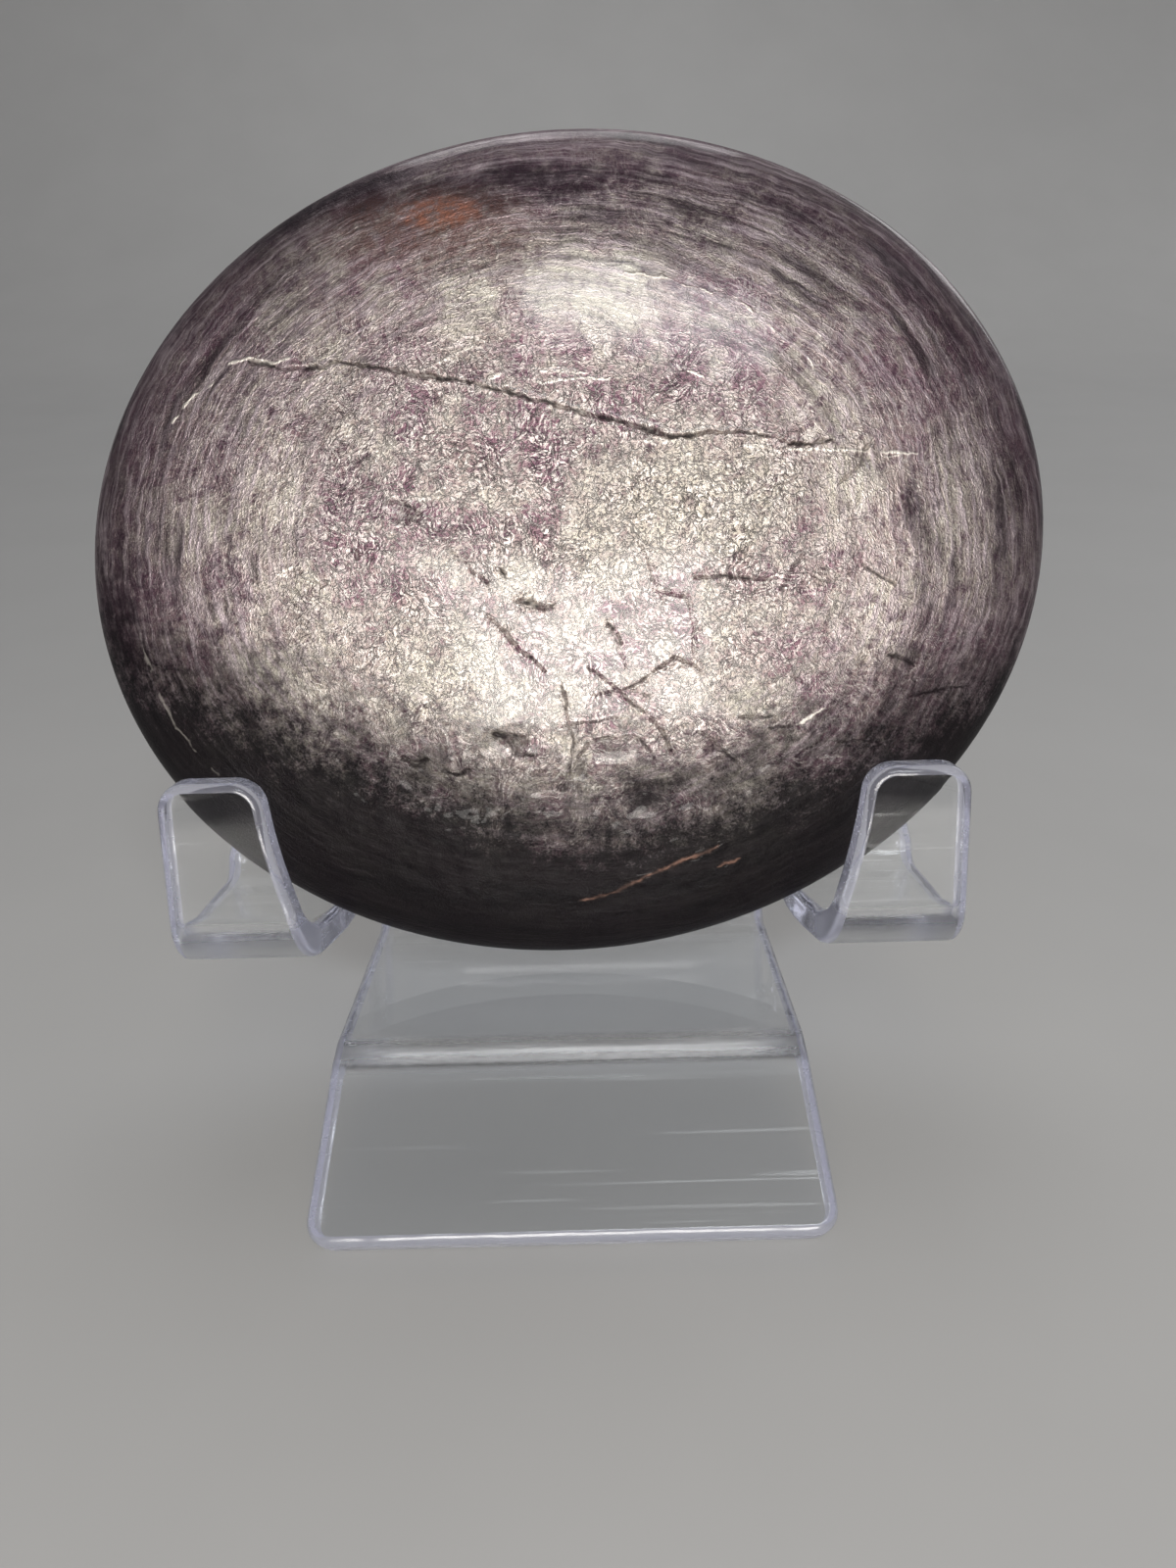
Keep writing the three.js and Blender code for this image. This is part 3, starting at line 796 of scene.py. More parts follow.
def near_line(x, z, line):
    """Each place's distance from a line of places, and its share of the way along the line."""
    nearest = np.full(len(x), np.inf)
    along = np.zeros(len(x))
    spans = [math.dist(first, second) for first, second in zip(line, line[1:])]
    for index, ((x0, z0), (x1, z1)) in enumerate(zip(line, line[1:])):
        step = np.array([x1 - x0, z1 - z0])
        share = np.clip(((x - x0) * step[0] + (z - z0) * step[1]) / (step @ step), 0, 1)
        away = np.hypot(x - x0 - share * step[0], z - z0 - share * step[1])
        closer = away < nearest
        nearest[closer] = away[closer]
        along[closer] = (sum(spans[:index]) + share[closer] * spans[index]) / sum(spans)
    return nearest, along


def ball_places(bm):
    return np.array([vert.co for vert in bm.verts])


def divide(bm, chosen):
    """Divides the edges that have both ends in chosen, and puts the new points on the ball."""
    edges = [edge for edge in bm.edges if chosen[edge.verts[0].index] and chosen[edge.verts[1].index]]
    bmesh.ops.subdivide_edges(bm, edges=edges, cuts=1, use_grid_fill=True)
    for vert in bm.verts:
        vert.co.normalize()
    bm.verts.index_update()


bm = bmesh.new()
bmesh.ops.create_icosphere(bm, subdivisions=6, radius=1.0)
bm.verts.index_update()
for front_ring in FRONT_RINGS:
    places = ball_places(bm)
    divide(bm, (places[:, 1] < 0) & (np.hypot(places[:, 0], places[:, 2]) < front_ring))
for reach in STRIP_REACHES:
    places = ball_places(bm)
    x, z = on_face(places)
    beside = np.zeros(len(x), bool)
    for half, _, line in all_lines:
        beside |= near_line(x, z, line)[0] < half + reach
    divide(bm, beside & (places[:, 1] < 0))
bmesh.ops.triangulate(bm, faces=bm.faces)
print("the ball has", len(bm.verts), "points and", len(bm.faces), "triangles")

# %% [markdown]
# ### Press the ball to the lens and open its cracks
#
# The lens is the model's own: a soft dome on each side, a few slow lumps, and a step back below
# the middle of the front. The fine relief is laid over it along the depth. Straight lines would
# look drawn, so places are nudged by noise before their distance to a line is measured, and each
# line's width and strength come and go. Patches have borders that wander much further.

# %% Fine relief of the faces
def noise_at(places, size, shift=0.0):
    """Smooth noise, about -1 to 1, at rows of places in millimetres."""
    moved = places / size + shift
    return np.array([noise.noise(Vector(row)) for row in moved])


def pressed(places):
    """The lens's own form: places of the ball moved to millimetres from the stone's middle."""
    x, z = on_face(places)
    deep = places[:, 1]
    lump = LUMPS[0] * np.sin(x / LUMPS[1]) * np.cos(z / LUMPS[2])
    dimple = DIMPLES[0] * np.sin(x / DIMPLES[1] - z / DIMPLES[2])
    ledge = LEDGE_DEPTH * ease(0, LEDGE_RISE, LEDGE_TOP - z) * np.exp(-(x / LEDGE_HALF_WIDTH) ** 4)
    swell = lump + dimple - ledge
    dome = np.where(deep < 0, FRONT_DOME, BACK_DOME)
    y = deep * dome + np.sign(deep) * swell * np.sqrt(np.abs(deep))
    return np.column_stack([x, y, z])


ball = ball_places(bm)
lens = pressed(ball)
front = ease(0.02, 0.2, -ball[:, 1])
ring = np.hypot(ball[:, 0], ball[:, 2])
print("lens before its relief, mm:", np.round(np.ptp(lens, axis=0), 1))

# %% Draw the lines and dips
CRACK_FINENESS = 0.62
THINNEST_LINE = 0.03
EDGE_LIFT = 0.05
EDGE_FROM_CRACK = 2.6


def wandering(*noises):
    """Places across and up the face, each moved by noises of (size, two shifts, reach)."""
    wander = 0
    for size, shift_x, shift_z, reach in noises:
        pair = [noise_at(lens, size, shift_x), noise_at(lens, size, shift_z)]
        wander = wander + np.column_stack(pair) * reach
    return (lens[:, (0, 2)] + wander).T


near_x, near_z = wandering((2.1, 5.0, 9.0, 0.28), (0.55, 2.0, 7.0, 0.16))
breadth = 1 + 0.8 * noise_at(lens, 1.3, 3.0)
patchy = ease(-0.25, 0.3, noise_at(lens, 2.4, 11.0) + 0.5 * noise_at(lens, 0.8, 12.0))


def trace(line, half, tip=0.15):
    """How many half widths each place is from a line that thins toward its ends."""
    away, along = near_line(near_x, near_z, line)
    thinning = ease(0, 0.25, along + tip) * ease(1, 0.75, along - tip)
    return away / np.maximum(half * breadth * thinning, THINNEST_LINE)


def drawn(lines, least):
    """How strongly a list of lines shows at each place. least is what its gaps still show."""
    strongest = np.zeros(len(lens))
    for half, strength, line in lines:
        shown = strength * np.exp(-trace(line, half) ** 2) * (least + (1 - least) * patchy)
        strongest = np.maximum(strongest, shown)
    return strongest


crack, cut, lifted = np.zeros((3, len(lens)))
for half, depth, line in OPEN_CRACKS:
    away = trace(line, CRACK_FINENESS * half)
    darkness = min(1, 0.3 + 1.2 * depth)
    crack = np.maximum(crack, np.exp(-away ** 2) * darkness * (0.5 + 0.5 * patchy))
    cut = np.maximum(cut, depth * np.exp(-away ** 2))
    lifted = np.maximum(lifted, EDGE_LIFT * np.exp(-(away - EDGE_FROM_CRACK) ** 2))
glint = drawn(BRIGHT_EDGES, 0.15)
copper = drawn(COPPER_VEINS, 0.25)


def blotches(spots, x, z):
    """The strongest of a list of soft round spots at each place (x, z)."""
    strongest = np.zeros(len(lens))
    for spot_x, spot_z, across, up, strength in spots:
        away = ((x - spot_x) / across) ** 2 + ((z - spot_z) / up) ** 2
        strongest = np.maximum(strongest, strength * np.exp(-away))
    return strongest


pit = blotches(DIPS, near_x, near_z)
print("deepest crack and pit, mm:", round(cut.max(), 2), round(pit.max(), 2))

# %% Spread the patches
far_x, far_z = wandering((7.0, 14.0, 18.0, 3.5), (2.0, 15.0, 19.0, 1.5))
plum_and_shade = blotches(PLUM_AND_SHADE_PATCHES, far_x, far_z)
silver_and_sheen = blotches(SILVER_AND_SHEEN_PATCHES, far_x, far_z)
calm = blotches(CALM_PATCHES, far_x, far_z)
print("points in a patch:", int((plum_and_shade + silver_and_sheen + calm > 0.5).sum()), "of", len(lens))

# %% [markdown]
# Below the polished face the leaves break away in little steps. Rounding a noise to whole steps
# gives terraces, and only the lower front has them. Everywhere else the surface keeps the faint
# unevenness of hand grinding, and the rim keeps fine grooves that follow the leaves round.

# %% Terraces, hand grinding and the rim's grooves
TERRACE_STEPS = 2.2
TERRACE_RELIEF = 0.22
broken = front * ease(-21, -27, lens[:, 2] + 3 * noise_at(lens, 6.0, 1.0))
broken *= ease(1.0, 0.8, ring) * ease(44, 30, np.abs(lens[:, 0]))
rough_ground = noise_at(lens, 2.6, 4.0) + 0.5 * noise_at(lens, 1.1, 6.0)
terraces = TERRACE_RELIEF * np.round(rough_ground * TERRACE_STEPS) / TERRACE_STEPS
terraces = terraces + 0.05 * rough_ground
grinding = 0.06 * noise_at(lens, 7.0, 8.0) + 0.012 * noise_at(lens, 1.6, 2.5)
along_rim = np.column_stack([ball[:, 0] / ring, ring * 26, ball[:, 2] / ring])
grooves = 0.035 * ease(0.78, 0.95, ring) * noise_at(along_rim, 1.0, 3.5)
relief = lifted + 0.10 * glint + 0.05 * copper - cut - pit + broken * (terraces - 0.15)
relief = front * relief + grinding + grooves
print("relief, mm:", round(relief.min(), 2), "to", round(relief.max(), 2))

# %% [markdown]
# The relief moves each point in or out, most in the middle of a dome and not at all at the rim.
# The lens is drawn a little small first, so that nothing stands proud of the model's solid. What
# the shader has to know about a place rides along as an attribute of its point.

# %% Shape the stone and mark its points
ROOM_FOR_RELIEF = 0.16
RIM_SHRINK = 0.9985
outward = np.where(ball[:, 1] < 0, -1, 1) * np.sqrt(np.clip(1 - ring ** 2, 0, 1))
lens[:, 1] += outward * (relief - ROOM_FOR_RELIEF)
lens[:, (0, 2)] *= RIM_SHRINK
placed = np.array(stone_turn) @ (lens.T * MM)
for vert, at in zip(bm.verts, placed.T + np.array(stone_middle)):
    vert.co = at
for name, values in (("crack", crack), ("glint", glint), ("copper", copper), ("pit", pit),
                     ("plum_and_shade", plum_and_shade), ("silver_and_sheen", silver_and_sheen), ("calm", calm)):
    layer = bm.verts.layers.float.new(name)
    for vert, value in zip(bm.verts, np.minimum(values, 1) * front):
        vert[layer] = value
print("attributes:", bm.verts.layers.float.keys())

# %% [markdown]
# ## Lepidolite's finish
#
# Lepidolite is a mass of small lilac mica leaves. Each leaf mirrors softly, like satin metal, and
# a hard polish lies over them all. So the shader is mostly metallic with a clear coat. Four
# groups draw what the leaves do: streaks that follow the rim, fine threads where leaves lie flat
# to the face and show only their edges, ruled books of leaves, and slow clouds of colour.

# %% [markdown]
# ### Streaks round the rim
#
# Toward the rim the lens cuts across more and more leaves, and their edges run round it as
# streaks. A noise that is read round the stone, and much finer from the middle to the rim, draws
# them, and a small wobble keeps them from looking turned on a lathe.

# %% The rim streaks group
def rim_streaks_group():
    """Streaks that run round the stone. Ring is 0 in the middle and 1 at the rim."""
    group, start, end = new_group(
        "rim streaks", ["Place", "Fineness", "Length"], ["Streaks", "Ring"])
    flat = node(group, "ShaderNodeVectorMath",
                {0: start.outputs["Place"], 1: (1 / HALF_WIDTH, 0, 1 / HALF_HEIGHT)}, operation="MULTIPLY")
    ring = node(group, "ShaderNodeVectorMath", {0: flat.outputs[0]}, operation="LENGTH").outputs["Value"]
    around = node(group, "ShaderNodeVectorMath", {0: flat.outputs[0]}, operation="NORMALIZE")
    parts = node(group, "ShaderNodeSeparateXYZ", {0: around.outputs[0]})
    wobble = maths(group, "MULTIPLY", noise_node(group, flat.outputs[0], 2.2, 1.0), 0.07)
    jitter = maths(group, "MULTIPLY", noise_node(group, flat.outputs[0], 19.0, 1.0), 0.022)
    depth = node(group, "ShaderNodeSeparateXYZ", {0: start.outputs["Place"]}).outputs["Y"]
    layer = maths(group, "MULTIPLY_ADD", depth, 0.006, maths(group, "ADD", wobble, jitter))
    where = node(group, "ShaderNodeCombineXYZ", {
        "X": maths(group, "MULTIPLY", parts.outputs["X"], start.outputs["Length"]),
        "Y": maths(group, "MULTIPLY", maths(group, "ADD", ring, layer), start.outputs["Fineness"]),
        "Z": maths(group, "MULTIPLY", parts.outputs["Z"], start.outputs["Length"])})
    group.links.new(noise_node(group, where.outputs[0], 1.0, 3.0, 0.66), end.inputs["Streaks"])
    group.links.new(ring, end.inputs["Ring"])
    return group


rim_streaks = rim_streaks_group()
print("rim streaks group has", len(rim_streaks.nodes), "nodes")

# %% [markdown]
# ### Threads and grain
#
# Where the leaves lie flat to the face, only their edges catch the light. The borders of Voronoi
# cells are such edges, and three sizes of them, each with gaps, make the web. A plain noise gives
# the grain between. The web is worked out on a flat place, which renders faster than a solid one.

# %% The mica threads group
# the scale and the strength of each web
WEBS = [(0.42, 0.7), (1.0, 0.9), (2.3, 0.7)]


def scaled(tree, vector, scale):
    return node(tree, "ShaderNodeVectorMath", {0: vector, "Scale": scale}, operation="SCALE").outputs[0]


def seen_flat(tree, vector, size):
    """X and Z of a place, scaled, as the first two parts of a flat place."""
    parts = node(tree, "ShaderNodeSeparateXYZ", {0: scaled(tree, vector, size)})
    return node(tree, "ShaderNodeCombineXYZ",
                {"X": parts.outputs["X"], "Y": parts.outputs["Z"]}).outputs[0]


def warped_flat(tree, flat, scale, detail, amount):
    """A flat place pushed about by noise, so that what is drawn on it loses its regular shape."""
    warp = node(tree, "ShaderNodeTexNoise", {"Vector": flat, "Scale": scale, "Detail": detail},
                noise_dimensions="2D")
    return node(tree, "ShaderNodeVectorMath",
                {0: warp.outputs["Color"], 1: (amount, amount, amount), 2: flat},
                operation="MULTIPLY_ADD").outputs[0]


def mica_threads_group():
    """Edges of leaves lying flat to the face: a web of fine bright threads, and the grain between."""
    group, start, end = new_group("mica threads", ["Place", "Size"], ["Threads", "Grain"])
    flat = seen_flat(group, start.outputs["Place"], start.outputs["Size"])
    warped = warped_flat(group, flat, 0.7, 2.0, 1.5)
    web = None
    for scale, strength in WEBS:
        leaves = node(group, "ShaderNodeTexVoronoi", {"Vector": warped, "Scale": scale},
                      feature="DISTANCE_TO_EDGE", voronoi_dimensions="2D")
        line = ramp(group, leaves.outputs["Distance"],
                    (0.0, strength), (0.04 * scale, 0.6 * strength), (0.09 * scale, 0.0))
        gaps = noise_node(group, flat, 1.1 * scale, 1.0, dimensions="2D")
        shown = ramp(group, gaps, (0.42, 0.0), (0.58, 1.0))
        line = maths(group, "MULTIPLY", line, shown)
        web = line if web is None else maths(group, "MAXIMUM", web, line)
    group.links.new(web, end.inputs["Threads"])
    place = scaled(group, start.outputs["Place"], start.outputs["Size"])
    group.links.new(noise_node(group, place, 5.5, 3.0, 0.7), end.inputs["Grain"])
    return group


mica_threads = mica_threads_group()
print("mica threads group has", len(mica_threads.nodes), "nodes")

# %% [markdown]
# ### Clouds of colour, and books of leaves
#
# Colour drifts slowly through the stone, and a second, wispier noise frays its borders. Leaves
# also grow in books, stacks that all lie one way, and a book cut through shows as fine ruled
# lines. Each Voronoi cell is a book, and its own random colour gives the turn of its lines.

# %% The cloud and book groups
def clouds_group():
    """Slow patches of colour, with a wispier second set."""
    group, start, end = new_group("colour clouds", ["Place", "Size"], ["Clouds", "Wisps"])
    place = scaled(group, start.outputs["Place"], start.outputs["Size"])
    group.links.new(noise_node(group, place, 1.0, 3.0, 0.5), end.inputs["Clouds"])
    group.links.new(noise_node(group, place, 3.2, 3.0, 0.74), end.inputs["Wisps"])
    return group


def leaf_books_group():
    """Books of leaves, a few millimetres wide, each ruled by fine lines in a direction of its own."""
    group, start, end = new_group("leaf books", ["Place", "Size"], ["Striae", "Book"])
    flat = seen_flat(group, start.outputs["Place"], start.outputs["Size"])
    warped = warped_flat(group, flat, 1.1, 3.0, 0.9)
    books = node(group, "ShaderNodeTexVoronoi", {"Vector": warped, "Scale": 1.0},
                 feature="F1", voronoi_dimensions="2D")
    chance = node(group, "ShaderNodeSeparateColor", {0: books.outputs["Color"]})
    turned = node(group, "ShaderNodeVectorRotate",
                  {"Vector": warped, "Angle": maths(group, "MULTIPLY", chance.outputs["Red"], math.pi)},
                  rotation_type="Z_AXIS").outputs[0]
    ruled = node(group, "ShaderNodeVectorMath", {0: turned, 1: (1.3, 9.0, 1.0)},
                 operation="MULTIPLY").outputs[0]
    wave = maths(group, "SUBTRACT", noise_node(group, ruled, 1.0, 3.0, 0.6, dimensions="2D"), 0.5)
    crest = ramp(group, maths(group, "ABSOLUTE", wave), (0.0, 1.0), (0.025, 0.5), (0.06, 0.0))
    group.links.new(crest, end.inputs["Striae"])
    group.links.new(chance.outputs["Green"], end.inputs["Book"])
    return group


colour_clouds = clouds_group()
leaf_books = leaf_books_group()
print("cloud and book groups have", len(colour_clouds.nodes), "and", len(leaf_books.nodes), "nodes")

# %% [markdown]
# ### The stone's colours
#
# Lepidolite runs from mauve-grey to silver. Its rim is plum, partly its own colour and partly painted
# shade, and low down it is painted black-violet, a painted shade where the dome turns away from the
# lamps. Colours are picked as a display shows them, so one function turns them into the linear
# light that a shader works in.

# %% Colours and stains
def srgb(red, green, blue):
    """An eight-bit display colour as the linear colour that a shader works in."""
    linear = [(part / 255 / 12.92) if part < 10.3 else ((part / 255 + 0.055) / 1.055) ** 2.4
              for part in (red, green, blue)]
    return (*linear, 1)


MAUVE = srgb(138, 106, 117)
SILVER = srgb(192, 183, 170)
PALE_SILVER = srgb(218, 211, 196)
PLUM = srgb(88, 61, 77)
DEEP_PLUM_AND_SHADE = srgb(42, 28, 37)
DARK_GRAIN = srgb(72, 52, 64)
BRIGHT_LEAF = srgb(255, 247, 240)
POLISH_MARK = srgb(244, 236, 228)
RIM_PLUM_AND_SHADE = srgb(88, 67, 79)
RIM_STREAK = srgb(202, 186, 192)
RIM_SHADE = srgb(50, 38, 46)
PAINTED_SHADE_VIOLET = srgb(10, 8, 10)
COPPER = srgb(146, 112, 98)
LIFTED_LEAF_AND_GLINT = srgb(246, 238, 228)
HOLLOW_DARK = srgb(26, 20, 23)
# x, z, half sizes across and up, strength and colour of the iron stains
STAINS = [
    (-16, 39, 17, 6.5, 0.55, srgb(126, 92, 80)),
    (-14.5, 41, 6, 2.4, 0.75, srgb(176, 116, 92)),
]
print("mauve in linear light:", [round(part, 3) for part in MAUVE[:3]])

# %% [markdown]
# ### What the colours are worked out from
#
# All the patterns are placed once, at the sizes that suit this stone, and every later step reads
# them from one holder. The cracks, bright edges, veins and patches come from the mesh's
# attributes, and the ring's border is frayed by wisps, so that the rim's colour has no outline.

# %% The stone's patterns
def attribute(tree, name):
    return node(tree, "ShaderNodeAttribute", attribute_name=name).outputs["Fac"]


def times(tree, *values):
    product = values[0]
    for value in values[1:]:
        product = maths(tree, "MULTIPLY", product, value)
    return product


def plus(tree, value, amount, strength=1.0):
    return maths(tree, "MULTIPLY_ADD", amount, strength, value)


def less(tree, value, amount):
    return maths(tree, "SUBTRACT", value, amount)


def stone_patterns(tree):
    place = millimetres(tree, stone_middle, STONE_LEAN)
    across, depth, up = node(tree, "ShaderNodeSeparateXYZ", {0: place}).outputs
    seen = SimpleNamespace(
        across=across, depth=depth, up=up,
        fine=grouped(tree, rim_streaks, {"Place": place, "Fineness": 95.0, "Length": 6.5}),
        broad=grouped(tree, rim_streaks, {"Place": place, "Fineness": 24.0, "Length": 2.6}),
        web=grouped(tree, mica_threads, {"Place": place, "Size": 0.62}),
        books=grouped(tree, leaf_books, {"Place": place, "Size": 0.17}),
        cloud=grouped(tree, colour_clouds, {"Place": place, "Size": 0.06}),
        haze=grouped(tree, colour_clouds, {"Place": place, "Size": 0.2}),
        marks=grouped(tree, polish_marks, {"Place": place, "Density": 0.9}))
    seen.ring = seen.fine["Ring"]
    seen.fraying = less(tree, seen.haze["Wisps"], 0.5)
    seen.frayed_ring = plus(tree, seen.ring, seen.fraying, 0.35)
    seen.lively = plus(tree, 1.0, attribute(tree, "calm"), -0.75)
    return seen


lepidolite, tree, shader, _ = new_material("polished lepidolite")
seen = stone_patterns(tree)
print("patterns:", sorted(vars(seen)))

# %% [markdown]
# ### The leaves
#
# Clouds choose between mauve and silver, and each book of leaves leans a little to one of them.
# The silver patches are partly a painted highlight where the lamps' sheen lies. Plum wisps and pale
# silver come over that. Then the dark grain, the bright threads with the ruled lines of the books,
# and last the polish marks.

# %% Colour the leaves
def leaf_tone(tree, seen):
    # silver mica, and partly a painted highlight where the lamps' sheen lies
    silver_and_sheen_share = plus(tree, seen.cloud["Clouds"], attribute(tree, "silver_and_sheen"), 0.16)
    silver_and_sheen_share = less(tree, plus(tree, silver_and_sheen_share, seen.books["Book"], 0.16), 0.08)
    tone = mixed(tree, ramp(tree, silver_and_sheen_share, (0.42, 0.0), (0.64, 1.0)), MAUVE, SILVER)
    # plum colour, and painted shade along the top edge and at the far left rim
    plum_and_shade_share = plus(tree, less(tree, seen.haze["Wisps"], 0.04), attribute(tree, "plum_and_shade"), 0.22)
    tone = mixed(tree, ramp(tree, plum_and_shade_share, (0.44, 0.0), (0.64, 0.85)), tone, PLUM)
    # pale silver, partly a painted highlight where the silver patches lie
    pale = plus(tree, seen.cloud["Wisps"], attribute(tree, "silver_and_sheen"), 0.10)
    return mixed(tree, ramp(tree, pale, (0.50, 0.0), (0.72, 0.85)), tone, PALE_SILVER)


def with_threads(tree, seen, tone):
    grain = ramp(tree, seen.web["Grain"], (0.36, 0.85), (0.52, 0.0))
    tone = mixed(tree, times(tree, seen.lively, grain), tone, DARK_GRAIN)
    middle = ramp(tree, seen.frayed_ring, (0.40, 1.0), (0.80, 0.3), (1.0, 0.15))
    middle = times(tree, seen.lively, middle)
    in_clouds = ramp(tree, seen.haze["Clouds"], (0.38, 0.2), (0.52, 1.0))
    between_clouds = ramp(tree, seen.haze["Clouds"], (0.44, 1.0), (0.62, 0.35))
    threads = times(tree, seen.web["Threads"], middle, in_clouds)
    ruled = times(tree, seen.books["Striae"], plus(tree, 0.3, middle, 0.6), between_clouds)
    tone = mixed(tree, maths(tree, "MAXIMUM", threads, ruled), tone, BRIGHT_LEAF)
    return mixed(tree, times(tree, seen.marks["Marks"], 0.32), tone, POLISH_MARK)


tone = with_threads(tree, seen, leaf_tone(tree, seen))
print("nodes so far:", len(tree.nodes))

# %% [markdown]
# ### The rim, and the painted shade at the foot of the stone
#
# The rim turns plum, partly its own colour and partly painted shade, ruled by pale streaks and
# broader dark ones, and the plum patches are darkest of all; along the top edge and at the far left
# rim they are painted shade. The black-violet foot is painted shade too: it begins at a border that
# rises to both sides, and grain and wisps tear it into spots.

# %% Colour the rim, and paint the shade at the foot
def with_rim(tree, seen, tone):
    # painted shade, in part: the rim's plum darkens toward the edge, where the dome turns away from the
    # lamps, on top of the stone's own plum
    rim = ramp(tree, seen.frayed_ring, (0.62, 0.0), (0.95, 0.8), (1.0, 0.85))
    tone = mixed(tree, rim, tone, RIM_PLUM_AND_SHADE)
    here_and_there = ramp(tree, seen.cloud["Wisps"], (0.35, 0.35), (0.6, 1.0))
    streak = times(tree, ramp(tree, seen.fine["Streaks"], (0.46, 0.0), (0.64, 1.0)), here_and_there,
                   ramp(tree, seen.ring, (0.35, 0.1), (0.70, 0.85), (1.0, 0.6)))
    tone = mixed(tree, streak, tone, RIM_STREAK)
    shade = times(tree, ramp(tree, seen.broad["Streaks"], (0.36, 1.0), (0.52, 0.0)), here_and_there,
                  ramp(tree, seen.ring, (0.40, 0.1), (0.75, 0.85)))
    tone = mixed(tree, shade, tone, RIM_SHADE)
    # darkest of all, as painted shade, where the patches along the top edge and at the far left rim lie
    deepest = plus(tree, attribute(tree, "plum_and_shade"), seen.fraying, 1.2)
    return mixed(tree, ramp(tree, deepest, (0.4, 0.0), (1.0, 0.85)), tone, DEEP_PLUM_AND_SHADE)


# painted shade: below a border that rises to both sides the stone is painted black-violet, standing in for
# the shade where the dome turns down, away from the lamps
BORDER_LOW = -34.0
BORDER_X = 4.0
BORDER_ROUND = 60.0
BORDER_SLOPE = 0.41
BORDER_WIDTH = 20


def painted_shade_below(tree, seen):
    """1 in the painted shade, black-violet, at the foot of the stone and 0 above it."""
    aside = less(tree, seen.across, BORDER_X)
    aside = maths(tree, "SQRT", plus(tree, BORDER_ROUND, aside, aside))
    below = less(tree, plus(tree, BORDER_LOW, aside, BORDER_SLOPE), seen.up)
    below = plus(tree, below, seen.fraying, 16.0)
    below = plus(tree, below, less(tree, seen.haze["Clouds"], 0.5), 11.0)
    below = plus(tree, below, less(tree, seen.web["Grain"], 0.5), 20.0)
    return ramp(tree, plus(tree, 0.5, below, 1 / BORDER_WIDTH),
                (0.05, 0.0), (0.5, 0.66), (0.9, 0.975))


foot = painted_shade_below(tree, seen)
# painted shade at the foot of the stone
tone = mixed(tree, foot, with_rim(tree, seen, tone), PAINTED_SHADE_VIOLET)
print("nodes so far:", len(tree.nodes))

# %% [markdown]
# ### Stains, veins, bright edges and hollows
#
# Iron has stained the top of the front and fills two thin veins near the foot. Lifted leaves are
# paler, and their nearly white colour is partly a painted glint. Cracks and pits are painted dark,
# a painted shade, because little light comes back out of them.

# %% Colour the stains and the lines
def with_stains(tree, seen, tone):
    in_front = maths(tree, "LESS_THAN", seen.depth, 0.0)
    for x, z, wide, high, strength, colour in STAINS:
        spot_x = maths(tree, "DIVIDE", less(tree, seen.across, x), wide)
        spot_z = maths(tree, "DIVIDE", less(tree, seen.up, z), high)
        spot = plus(tree, times(tree, spot_x, spot_x), spot_z, spot_z)
        spot = ramp(tree, spot, (0.0, strength), (1.0, 0.0))
        shown = ramp(tree, seen.haze["Wisps"], (0.36, 0.2), (0.58, 1.0))
        tone = mixed(tree, times(tree, spot, in_front, shown), tone, colour)
    return tone


def with_lines(tree, tone, hollow):
    tone = mixed(tree, times(tree, attribute(tree, "copper"), 0.8), tone, COPPER)
    # lifted leaves are paler, and their nearly white colour is partly a painted glint
    bright = ramp(tree, attribute(tree, "glint"), (0.12, 0.0), (0.6, 0.85))
    tone = mixed(tree, bright, tone, LIFTED_LEAF_AND_GLINT)
    return mixed(tree, hollow, tone, HOLLOW_DARK)


# painted shade: cracks and pits are darkened as the shade inside them
hollow = maths(tree, "MAXIMUM", ramp(tree, attribute(tree, "crack"), (0.14, 0.0), (0.68, 0.9)),
               ramp(tree, attribute(tree, "pit"), (0.2, 0.0), (0.7, 0.85)))
tone = with_lines(tree, with_stains(tree, seen, tone), hollow)
tree.links.new(tone, shader.inputs["Base Color"])
print("nodes so far:", len(tree.nodes))

# %% [markdown]
# ### Sheen and relief
#
# Leaves mirror like satin metal, but not in hollows nor where they stand edge on. The clear coat
# is the polish over them. Threads, grain and streaks are far too fine for the mesh, so they are a
# bump, weakest where the stone is calm.

# %% Sheen, coat and bump
METAL_SHARE = 0.88
COAT_ROUGHNESS = 0.12
DULL_SPECULAR = 0.1
BUMP_STRENGTH = 0.85
BUMP_DEPTH = 0.16 * MM

leafy = less(tree, 1.0, maths(tree, "MAXIMUM", hollow, times(tree, foot, 0.8)))
rough = plus(tree, plus(tree, 0.45, seen.haze["Clouds"], 0.10), hollow, 0.3)
coat = times(tree, leafy, plus(tree, 0.30, seen.marks["Smears"], 0.3))
tree.links.new(times(tree, leafy, METAL_SHARE), shader.inputs["Metallic"])
tree.links.new(rough, shader.inputs["Roughness"])
tree.links.new(coat, shader.inputs["Coat Weight"])
shader.inputs["Coat Roughness"].default_value = COAT_ROUGHNESS
shader.inputs["Specular IOR Level"].default_value = DULL_SPECULAR

inside = ramp(tree, seen.ring, (0.40, 1.0), (0.80, 0.3), (1.0, 0.15))
threads = times(tree, seen.web["Threads"], times(tree, seen.lively, inside))
height = plus(tree, threads, times(tree, seen.web["Grain"], seen.lively), 0.8)
height = plus(tree, height, times(tree, seen.fine["Streaks"], seen.ring), 1.2)
bump = node(tree, "ShaderNodeBump",
            {"Height": height, "Strength": BUMP_STRENGTH, "Distance": BUMP_DEPTH})
tree.links.new(bump.outputs["Normal"], shader.inputs["Normal"])
print("the finished material has", len(tree.nodes), "nodes")

